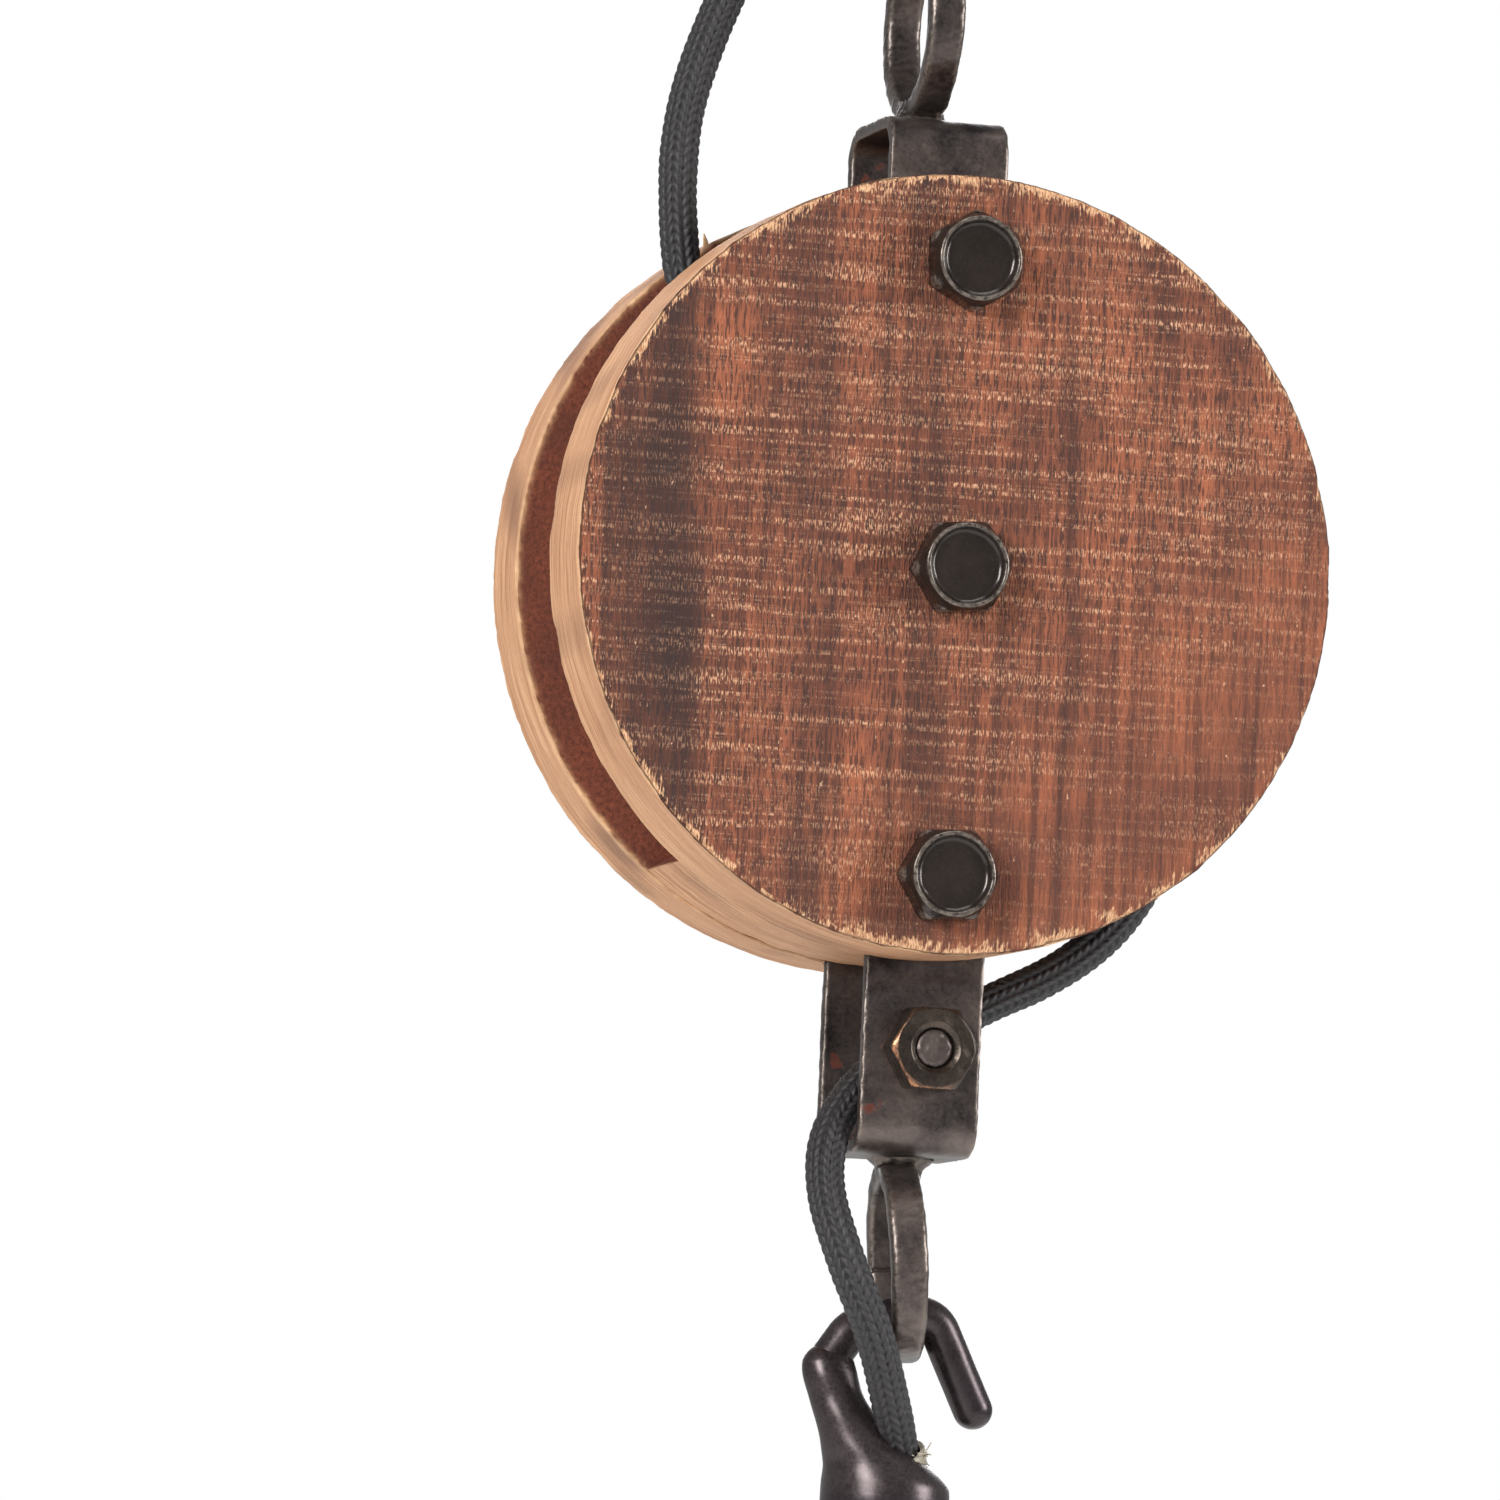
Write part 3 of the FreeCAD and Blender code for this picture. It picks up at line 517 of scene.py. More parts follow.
@dataclass(frozen=True)
class WoodFinish:
    """Rough-sawn stained wood; grain holds millimetres across, along and into the grain."""

    cut: WoodCut

    def material(self) -> bpy.types.Material:
        """Returns: the material for this cut."""
        tree = MaterialTree(self.cut.value, Specular_IOR_Level=0.25)
        grain, tone, wear_and_painted_light = tree.attribute("grain"), tree.attribute("tone"), tree.attribute("wear_and_painted_light")
        build = {WoodCut.FACE: self.face, WoodCut.RIM: self.rim, WoodCut.GROOVE: self.groove}[self.cut]
        return build(tree, grain, tone, wear_and_painted_light)

    @staticmethod
    def face(tree: MaterialTree, grain, tone, wear_and_painted_light) -> bpy.types.Material:
        """Sawn face: fine upright fibres, level saw marks, dark bands and pale torn flecks.

        Args:
            tree: the material being made.
            grain: grain coordinate.
            tone: darkness of the growth bands.
            wear_and_painted_light: paleness of the broken edge.
        Returns:
            The material.
        """
        fibre = tree.noise(tree.stretch(grain, (2.8, 0.30, 1)), 1, 3, 0.6)
        tick = tree.noise(tree.stretch(grain, (4.6, 0.95, 1)), 1, 2, 0.5)
        saw = tree.noise(tree.stretch(grain, (0.035, 0.8, 1)), 1, 3, 0.6)
        patch = tree.noise(grain, 0.05, 3, 0.5)
        fleck = tree.noise(tree.stretch(grain, (1.3, 0.5, 1)), 1, 4, 0.7)
        streak = tree.noise(tree.stretch(grain, (0.6, 0.018, 1)), 1, 4, 0.6)
        coarse = tree.math("SUBTRACT", 1.0, tree.attribute("calm"))
        warm = tree.mix(tree.remap(patch, 0.38, 0.62), linear("8f5238"), linear("72402d"))
        warm = tree.mix(tree.remap(streak, 0.44, 0.62, 0.0, 0.8), warm, linear("4c2b21"))
        open_grain = tree.remap(coarse, 0, 1, 0.45, 0.9)
        gaps = tree.math("MULTIPLY", tree.remap(fibre, 0.41, 0.52, 1.0, 0.0), open_grain)
        colour = tree.mix(gaps, warm, linear("3a2018"))
        colour = tree.mix(tree.math("MULTIPLY", tone, 0.92, clamp=True), colour, linear("291a18"))
        marks = tree.math("MULTIPLY", tree.remap(saw, 0.47, 0.62), tree.remap(tone, 0.0, 0.8, 0.9, 0.3))
        marks = tree.math("MULTIPLY", marks, tree.remap(coarse, 0, 1, 0.4, 1.0))
        colour = tree.mix(tree.math("MULTIPLY", marks, tree.remap(tick, 0.51, 0.59)), colour, linear("c09272"))
        torn = tree.remap(fleck, 0.65, 0.70)
        colour = tree.mix(tree.math("MULTIPLY", torn, 0.8), colour, linear("c8a080"))
        torn_edge = tree.remap(tree.math("ADD", wear_and_painted_light, tree.remap(fibre, 0.3, 0.7, -0.35, 0.35)), 0.42, 0.58)
        raw = tree.mix(tree.remap(tick, 0.4, 0.6), linear("96694a"), linear("c8a07c"))
        colour = tree.mix(torn_edge, colour, raw)
        height = tree.math("ADD", tree.math("MULTIPLY", fibre, 0.5), tree.math("MULTIPLY", saw, 0.16))
        height = tree.math("ADD", height, tree.math("MULTIPLY", tick, 0.35))
        return tree.finish(colour, tree.remap(fibre, 0.3, 0.7, 0.62, 0.85), tree.bump(height, 1.1, 1.0))

    @staticmethod
    def rim(tree: MaterialTree, grain, tone, wear_and_painted_light) -> bpy.types.Material:
        """Turned rim: tan wood with fine lines along the rim and darker clouds.

        Args:
            tree: the material being made.
            grain: grain coordinate, its second part along the rim.
            tone: extra darkness.
            wear_and_painted_light: paleness of the broken edge.
        Returns:
            The material.
        """
        lines = tree.noise(tree.stretch(grain, (2.2, 0.04, 1)), 1, 5, 0.65)
        pores = tree.noise(tree.stretch(grain, (3.4, 0.9, 1)), 1, 3, 0.6)
        cloud = tree.noise(tree.stretch(grain, (0.10, 0.03, 1)), 1, 4, 0.55)
        colour = tree.mix(tree.remap(lines, 0.38, 0.62), linear("916547"), linear("bd9472"))
        colour = tree.mix(tree.remap(cloud, 0.48, 0.76, 0.0, 0.5), colour, linear("7a4f38"))
        colour = tree.mix(tree.remap(pores, 0.58, 0.74, 0.0, 0.45), colour, linear("684633"))
        colour = tree.mix(tree.math("MULTIPLY", tone, 0.8, clamp=True), colour, linear("5a3d31"))
        colour = tree.mix(wear_and_painted_light, colour, linear("cba680"))
        height = tree.math("ADD", tree.math("MULTIPLY", lines, 0.6), tree.math("MULTIPLY", pores, 0.4))
        return tree.finish(colour, tree.remap(pores, 0.3, 0.7, 0.6, 0.8), tree.bump(height, 0.25, 0.7))

    @staticmethod
    def groove(tree: MaterialTree, grain, tone, wear_and_painted_light) -> bpy.types.Material:
        """Inner face: red-brown stain soaked into fuzzy fibres.

        Args:
            tree: the material being made.
            grain: grain coordinate.
            tone: extra darkness; not used here.
            wear_and_painted_light: paleness of the broken edge.
        Returns:
            The material.
        """
        fuzz = tree.noise(grain, 1.3, 5, 0.75)
        cloud = tree.noise(grain, 0.12, 3, 0.5)
        colour = tree.mix(tree.remap(fuzz, 0.32, 0.68), linear("48241a"), linear("7c402c"))
        colour = tree.mix(tree.remap(cloud, 0.4, 0.7, 0.0, 0.45), colour, linear("442620"))
        colour = tree.mix(wear_and_painted_light, colour, linear("d3a678"))
        return tree.finish(colour, 0.85, tree.bump(fuzz, 0.4, 0.8))


@dataclass(frozen=True)
class BraidFinish:
    """Woven textile with painted shade in the gaps between the yarns; weave holds the place across and along a
    yarn, and a number for each yarn.
    """

    name: str = "cord_braid"

    def material(self) -> bpy.types.Material:
        """Returns: the material."""
        tree = MaterialTree(self.name, Sheen_Weight=0.06, Sheen_Roughness=0.4, Specular_IOR_Level=0.5)
        weave = tree.attribute("weave")
        fibres = tree.noise(tree.stretch(weave, (9.0, 0.8, 3.0)), 1, 3, 0.6)
        yarn = tree.noise(tree.stretch(weave, (0, 0, 7.3)), 1, 0, 0)
        colour = tree.mix(tree.remap(fibres, 0.3, 0.7), linear("0a080a"), linear("1b171b"))
        colour = tree.mix(tree.remap(yarn, 0.45, 0.7, 0.0, 0.4), colour, linear("272127"))
        # Painted shade: where the yarns sink into the gaps between them, the colour is painted near black.
        colour = tree.mix(tree.attribute("wear_and_painted_light"), linear("050405"), colour)
        return tree.finish(colour, tree.remap(fibres, 0.3, 0.7, 0.42, 0.6), tree.bump(fibres, 0.12, 0.9))


@dataclass(frozen=True)
class PlainFinish:
    """Rubber, linen or another plain stuff with a speckle and a soft bump."""

    name: str
    low: str
    high: str
    rough: float = 0.8
    metallic: float = 0.0

    def material(self) -> bpy.types.Material:
        """Returns: the material."""
        tree = MaterialTree(self.name, Metallic=self.metallic)
        speckle = tree.noise(tree.millimetres(), 1.4, 4, 0.65)
        colour = tree.mix(tree.remap(speckle, 0.35, 0.65), linear(self.low), linear(self.high))
        return tree.finish(colour, tree.remap(speckle, 0.3, 0.7, self.rough - 0.08, self.rough + 0.08),
                           tree.bump(speckle, 0.05, 0.6))


METALS = {
    "strap": MetalFinish("strap_steel", "2c2728", "665b56", stain="5e2e22", stained=0.36, gloss=0.33,
                         metallic=0.75, depth=0.07),
    "bolt": MetalFinish("bolt_steel", "1d1714", "2e2622", bare="857a70", stained=0.0, gloss=0.2, metallic=0.5,
                        depth=0.02),
    # The nut's pale copper bare colour is partly wear and partly a painted highlight on its lit left edges.
    "nut": MetalFinish("strap_nut_steel", "26211e", "4c423b", bare="b07a58", stained=0.12, gloss=0.3,
                       metallic=0.8, depth=0.05),
    "cap": MetalFinish("cap_iron", "2c2527", "3f3739", stain="5a4030", bare="6a5f58", stained=0.02, gloss=0.3,
                       metallic=0.7, depth=0.02),
    "plate": MetalFinish("plate_steel", "4b4846", "6f6c68", stained=0.1, gloss=0.38, metallic=0.8, depth=0.04),
    "iron": MetalFinish("sheave_iron", "2f2c2a", "504a45", stained=0.3, gloss=0.45, metallic=0.7, depth=0.08),
    "brass": MetalFinish("bush_brass", "7d6236", "a88a52", stained=0.1, gloss=0.35, metallic=0.9, depth=0.03),
    "nipple": MetalFinish("nipple_steel", "6d6a66", "8f8c87", stained=0.1, gloss=0.3, metallic=0.9, depth=0.03),
}


class Library:
    """The finishes as made materials, each made once."""

    def __init__(self) -> None:
        """Make every material."""
        self.metal = {key: finish.material() for key, finish in METALS.items()}
        self.wood = [WoodFinish(cut).material() for cut in WoodCut]
        self.braid = BraidFinish().material()
        self.rubber = PlainFinish("seal_rubber", "17171a", "2a2a2d", 0.7).material()
        self.linen = PlainFinish("bush_linen", "6d675c", "a89f8e", 0.9).material()
        self.splinter = PlainFinish("splinter_wood", "b88f66", "dcb68a", 0.8).material()


# ---------------------------------------------------------------- shapes


def circle(columns: int) -> np.ndarray:
    """Angles round a full turn.

    Args:
        columns: how many.
    Returns:
        The angles, the last short of the first.
    """
    return np.arange(columns) * 2 * math.pi / columns


def sweep(path: np.ndarray, side: Sequence[float], section: np.ndarray, ring: bool = False) -> np.ndarray:
    """Carry a section along a path.

    Args:
        path: (n, 3) points.
        side: the direction that the section's first axis keeps to.
        section: (m, 2) or (n, m, 2) outline, its second axis square to the path.
        ring: whether the path closes on itself.
    Returns:
        (n, m, 3) points.
    """
    along = np.roll(path, -1, 0) - np.roll(path, 1, 0) if ring else np.gradient(path, axis=0)
    along = unit(along)
    side = np.broadcast_to(np.asarray(side, float), path.shape)
    first = unit(side - np.einsum("ij,ij->i", side, along)[:, None] * along)
    second = np.cross(along, first)
    section = np.broadcast_to(section, (len(path), *section.shape[-2:]))
    return path[:, None] + first[:, None] * section[..., :1] + second[:, None] * section[..., 1:]


def lathe(profile: np.ndarray, place: Sequence[float], axis: Sequence[float], columns: int = 96,
          hexed: Optional[float] = None, turn: float = 0.0) -> np.ndarray:
    """Turn a half profile about an axis, and trim it to a hexagon if asked.

    Args:
        profile: (n, 2) radius and height.
        place: the profile's origin.
        axis: direction of growing height.
        columns: points in a turn.
        hexed: size across flats; corners are slightly rounded by a high power mean of the six sides.
        turn: turn about the axis in degrees.
    Returns:
        (n, columns, 3) points.
    """
    axis = np.asarray(axis, float)
    first = unit(np.cross(axis, [0, 0, 1]) if abs(axis[2]) < 0.9 else np.array([1.0, 0, 0]))
    second = np.cross(axis, first)
    angles = circle(columns)
    radius = np.repeat(np.asarray(profile, float)[:, :1], columns, 1)
    if hexed:
        sides = np.cos(angles[:, None] - math.radians(turn) - circle(6)[None])
        limit = hexed / 2 / (np.clip(sides, 0, None) ** 70).sum(1) ** (1 / 70)
        radius = (radius ** -40 + limit[None] ** -40) ** (-1 / 40)
    cross = first * np.cos(angles)[:, None] + second * np.sin(angles)[:, None]
    return np.asarray(place) + radius[..., None] * cross + np.asarray(profile)[:, 1, None, None] * axis


def polyline(*corners: tuple[float, float, float], step: float = 0.25) -> np.ndarray:
    """A rounded profile with evenly spaced points.

    Args:
        corners: (radius, height, corner radius) in order.
        step: distance between points.
    Returns:
        (n, 2) points.
    """
    return evenly(rounded(corners), step)


def box_section(width: float, height: float, corner: float) -> tuple[np.ndarray, np.ndarray]:
    """A rectangle with rounded corners.

    Args:
        width: size on the first axis.
        height: size on the second axis.
        corner: corner radius.
    Returns:
        (m, 2) outline, and how near each of its points is to a corner, from 0 to 1.
    """
    u, v = width / 2, height / 2
    line = rounded([(-u, -v, corner), (u, -v, corner), (u, v, corner), (-u, v, corner)], closed=True, steps=7)
    line = evenly(np.vstack([line, line[:1]]), min(0.4, height / 6))[:-1]
    gap = np.hypot(u - np.abs(line[:, 0]), v - np.abs(line[:, 1]))
    return line, np.clip(1 - (gap - 0.2 * corner) / (0.75 * corner + 0.25), 0, 1)


def thread(radius: float, pitch: float, length: float, depth: float = 0.5, columns: int = 72) -> np.ndarray:
    """A threaded rod about +Z: its radius falls by a triangle wave of height and angle.

    Args:
        radius: over the crests.
        pitch: rise in one turn.
        length: along Z.
        depth: crest to root.
        columns: points in a turn.
    Returns:
        (n, columns, 3) points.
    """
    angles = circle(columns)
    height = np.linspace(0, length, int(length / pitch * 10) + 1)
    phase = (height[:, None] / pitch - angles[None] / (2 * math.pi)) % 1
    fall = depth * np.abs(2 * phase - 1) ** 1.2
    ends = np.clip(np.minimum(height, length - height) / pitch, 0, 1)[:, None]
    fall = fall * ends + depth * (1 - ends) * 0.9
    r = radius - fall
    tall = np.broadcast_to(height[:, None], r.shape)
    return np.stack([r * np.cos(angles), r * np.sin(angles), tall], -1)


def placed(points: np.ndarray, place: Sequence[float], axis: Sequence[float] = (0, 0, 1)) -> np.ndarray:
    """Move points made about +Z to a place and axis.

    Args:
        points: (..., 3) points.
        place: the new origin.
        axis: where +Z goes.
    Returns:
        The moved points.
    """
    turn = np.array(Vector((0, 0, 1)).rotation_difference(Vector(axis)).to_matrix())
    return points @ turn.T + np.asarray(place)


def worn(points: np.ndarray, amount: float, wavelength: float, seed: int) -> np.ndarray:
    """Push points about by smooth unevenness on all three axes.

    Args:
        points: (..., 3) points.
        amount: largest push in millimetres.
        wavelength: size of the unevenness.
        seed: picks the pattern.
    Returns:
        The moved points.
    """
    push = np.stack([ripple(points, wavelength, seed + k) for k in range(3)], -1)
    return points + amount * push


def hex_profile(flats: float, height: float, low: bool, top: Sequence[tuple[float, float, float]]) -> np.ndarray:
    """Rows of a hexagon head or nut, from its lower face to its upper one.

    Args:
        flats: size across flats.
        height: height.
        low: whether the lower corners are turned down too.
        top: rest of the profile on the upper face.
    Returns:
        (n, 2) radius and height; the hexagon cuts the radius later.
    """
    inner, fall = flats / 2 - 0.25, math.tan(math.radians(30))
    outer = flats / math.sqrt(3) + 0.2
    drop = (outer - inner) * fall
    start = [(inner, 0, 0), (outer, drop, 0)] if low else [(outer, 0, 0)]
    side = polyline(*start, (outer, height - drop, 0), (inner, height, 0.3), step=0.16)
    return np.vstack([[(start[0][0] - 1.5, 0.0)], side, polyline((inner - 0.05, height, 0), *top, step=0.16)])


# ---------------------------------------------------------------- sub-assemblies


@dataclass
class CeilingFitting:
    """The plate's hook, its nut and washer, and the cord gland."""

    library: Library
    route: tuple[tuple[float, float, float], ...] = (
        (0, 134.5, 0), (0, 122, 7), (7, 112, 7), (7, 95.6, 8), (-9, 95.6, 8), (-9, 106.1, 0))
    radius: float = 3.0
    stud_foot: float = 119.0
    nut_flats: float = 10.0
    gland_x: float = -23.0
    under: float = 133.0

    def build(self) -> None:
        """Make all the ceiling pieces."""
        plate = self.library.metal["plate"]
        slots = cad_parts["ceiling_plate"].data.materials
        slots.clear()
        slots.append(plate)
        self.hook(plate)
        washer = polyline((3.1, 0, 0), (8.0, 0, 0.3), (8.0, -1.2, 0.3), (3.1, -1.2, 0.2), step=0.2)
        Surface("hook_washer_disc", lathe(washer, (0, 0, self.under), (0, 0, 1)), ring=True).build(
            [plate], Body.CEILING, ["hook_washer"], "plate_steel")
        nut = hex_profile(self.nut_flats, 5.0, True, [(3.6, 5.0, 0.2), (3.02, 4.6, 0)])
        nut = np.vstack([nut, [(3.02, 0.3), (4.7, 0.0)]])
        points = lathe(nut, (0, 0, self.under - 1.25), (0, 0, -1), 120, hexed=self.nut_flats)
        Surface("hook_nut_hex", points).build([plate], Body.CEILING, ["hook_nut"], "plate_steel")
        self.gland(plate)

    def hook(self, plate: bpy.types.Material) -> None:
        """Open hook of round bar with a threaded stud and a ball tip.

        Args:
            plate: its finish.
        """
        line = evenly(rounded(self.route, steps=24), 0.4)
        path = np.stack([line[:, 0], 0 * line[:, 0], line[:, 1]], -1)
        swell = np.sin(np.linspace(0, 1, len(path)) * 40)
        stud = path[:, 2] > self.stud_foot
        radii = self.radius * np.where(stud, 0.86 * (1 + 0.012 * swell), 1 + 0.01 * swell)
        rise = np.linspace(0.1, 1, 8)
        ends = path[-1] + rise[:, None] * np.array([0, 0, self.radius])
        cap = self.radius * np.sqrt(np.clip(1 - rise ** 2, 0.002, 1))
        path, radii = np.vstack([path, ends]), np.append(radii, cap)
        angles = circle(40)
        ring = np.stack([np.cos(angles), np.sin(angles)], -1)
        points = worn(sweep(path, (0, 1, 0), ring * radii[:, None, None]), 0.04, 6, 11)
        wear_and_painted_light = np.repeat(np.exp(-((path[:, 2] - 92) / 5) ** 2)[:, None], 40, 1)
        Surface("hook_bar_bent", points, attributes={"wear_and_painted_light": wear_and_painted_light}).build(
            [plate], Body.CEILING, ["ceiling_hook"], "plate_steel")
        stud_points = placed(thread(3.0, 1.0, 13.5, 0.35), (0, 0, 120.8))
        Surface("hook_stud_thread", stud_points).build([plate], Body.CEILING, slot="plate_steel")

    def gland(self, plate: bpy.types.Material) -> None:
        """Cord gland: a round body, a ribbed cap and a rubber seal.

        Args:
            plate: its finish.
        """
        body = polyline((3.45, 2.8, 0), (5, 2.8, 0), (5, 0, 0.2), (8.5, 0, 0.5), (8.5, -6, 0.5), (3.45, -6, 0),
                        step=0.3)
        place = (self.gland_x, 0, self.under)
        Surface("gland_body_turned", lathe(body, place, (0, 0, 1)), ring=True).build(
            [plate], Body.CEILING, ["gland_body"], "plate_steel")
        cap = polyline((6, -6, 0), (8.5, -6, 0.4), (8.5, -9, 0.5), (6.2, -14, 2), (3.5, -14, 0.4), (3.5, -11, 0),
                       (6, -11, 0), step=0.3)
        points = lathe(cap, place, (0, 0, 1), 192)
        centre = np.array([self.gland_x, 0])
        out = points[..., :2] - centre
        ribs = 1 - 0.03 * (0.5 + 0.5 * np.cos(circle(192) * 24)) ** 2
        on_wall = (np.hypot(out[..., 0], out[..., 1]) > 7.2)[..., None]
        points[..., :2] = centre + out * np.where(on_wall, ribs[None, :, None], 1)
        Surface("gland_cap_ribbed", points, ring=True).build([plate], Body.CEILING, ["gland_cap"], "plate_steel")
        seal = polyline((3.15, -6.1, 0.2), (5.95, -6.1, 0.3), (5.95, -10.9, 0.3), (3.15, -10.9, 0.2), step=0.3)
        Surface("gland_seal_ring", lathe(seal, place, (0, 0, 1)), ring=True).build(
            [self.library.rubber], Body.CEILING, ["gland_seal"], "rubber")


@dataclass
class WeldedRing:
    """A closed ring of chamfered flat bar, its weld, and a seam of a chosen depth where its ends met."""

    name: str
    library: Library
    centre: tuple[float, float, float]
    turn: float
    lean: float
    weld_x: float
    face_z: float
    foot: tuple[float, float]
    neck: tuple[float, float]
    seam: float = 0.0
    wave: float = 0.12
    radius: float = 13.95
    bar: tuple[float, float, float] = (5.7, 3.3, 1.0)
    columns: int = 420
    seam_at: float = 0.05
    seam_wide: float = 0.3

    def build(self) -> None:
        """Make the ring and its weld."""
        lean = Matrix.Rotation(math.radians(self.lean), 3, "Y")
        turn = Matrix.Rotation(math.radians(self.turn), 3, "Z") @ lean
        across = np.array(turn)[:, 0]
        angles = circle(self.columns)
        flat = np.stack([0 * angles, np.cos(angles), np.sin(angles)], -1)
        lumps = ripple(flat * self.radius, 8, 21)
        path = (flat * (self.radius + self.wave * lumps)[:, None]) @ np.array(turn).T + np.array(self.centre)
        section, edge = box_section(*self.bar)
        gaps = [(angles - full + self.seam_at) * self.radius / self.seam_wide for full in (0, 2 * math.pi)]
        crease = sum(self.seam * np.exp(-gap ** 2) for gap in gaps)
        size = 1 + 0.02 * ripple(flat * self.radius, 5, 27) - 0.22 * crease
        points = sweep(path, across, section[None] * size[:, None, None], ring=True)
        wear_and_painted_light = np.clip(np.repeat(edge[None], self.columns, 0) * 0.5 - crease[:, None], 0, 1)
        Surface(f"{self.name}_bar", worn(points, 0.05, 2.2, 31), ring=True, attributes={"wear_and_painted_light": wear_and_painted_light}).build(
            [self.library.metal["strap"]], Body.BLOCK, [self.name], "strap_steel")
        self.weld()

    def weld(self) -> None:
        """Lumpy bead that flares from the ring's bar onto the strap."""
        sign = math.copysign(1, self.centre[2] - self.face_z)
        level = np.linspace(0, 1, 30)
        flare = (1 - level) ** 2.2
        wide = self.neck[0] + (self.foot[0] - self.neck[0]) * flare
        deep = self.neck[1] + (self.foot[1] - self.neck[1]) * flare
        angles = circle(72)
        power = 0.8
        u = np.sign(np.cos(angles)) * np.abs(np.cos(angles)) ** power
        v = np.sign(np.sin(angles)) * np.abs(np.sin(angles)) ** power
        rise = self.face_z + sign * (level * 3.6 - 0.15)
        points = np.stack([self.weld_x + wide[:, None] / 2 * u, deep[:, None] / 2 * v,
                           np.broadcast_to(rise[:, None], (30, 72))], -1)
        points = worn(points, 0.22, 3.2, 41) + 0.1 * ripple(points, 1.2, 47)[..., None] * np.array([1, 1, 0])
        name = self.name.replace("ring", "weld")
        Surface(f"{name}_bead", points, attributes={"wear_and_painted_light": np.full((30, 72), 0.25)}, sharp=70).build(
            [self.library.metal["strap"]], Body.BLOCK, [name], "strap_steel")


@dataclass
class Strap:
    """A U of flat bar that grips the wood; each rust patch has a centre beside x, a size and a depth."""

    name: str
    library: Library
    x: float
    web: float
    end: float
    rust: tuple[tuple[tuple[float, float, float], tuple[float, float, float], float], ...]
    width: float = 19.0
    thick: float = 2.0
    gap: float = 20.2

    def build(self) -> None:
        """Make the strap."""
        sign = math.copysign(1, self.web)
        half, level = (self.gap + self.thick) / 2, self.web - sign * self.thick / 2
        line = evenly(rounded([(-half, self.end, 0), (-half, level, 4), (half, level, 4), (half, self.end, 0)],
                              steps=16), 0.5)
        path = np.stack([np.full(len(line), self.x), line[:, 0], line[:, 1]], -1)
        section, edge = box_section(self.width, self.thick, 0.45)
        points = worn(sweep(path, (1, 0, 0), section), 0.05, 3.0, 51)
        fringe = np.sign(section[:, :1] * (edge[:, None] > 0.2)) * np.array([1, 0, 0])
        points = points + 0.03 * ripple(points, 1.4, 57)[..., None] * fringe
        bend = np.exp(-((line[:, 1] - level) / 3) ** 2)
        wear_and_painted_light = np.clip(edge[None] * (0.55 + 0.25 * bend[:, None]), 0, 1)
        rust = sum(deep * np.exp(-(((points - self.x * np.array([1, 0, 0]) - spot) / size) ** 2).sum(-1))
                   for spot, size, deep in self.rust)
        Surface(f"{self.name}_bar", points, attributes={"wear_and_painted_light": wear_and_painted_light, "rust": rust}).build(
            [self.library.metal["strap"]], Body.BLOCK, [self.name], "strap_steel")


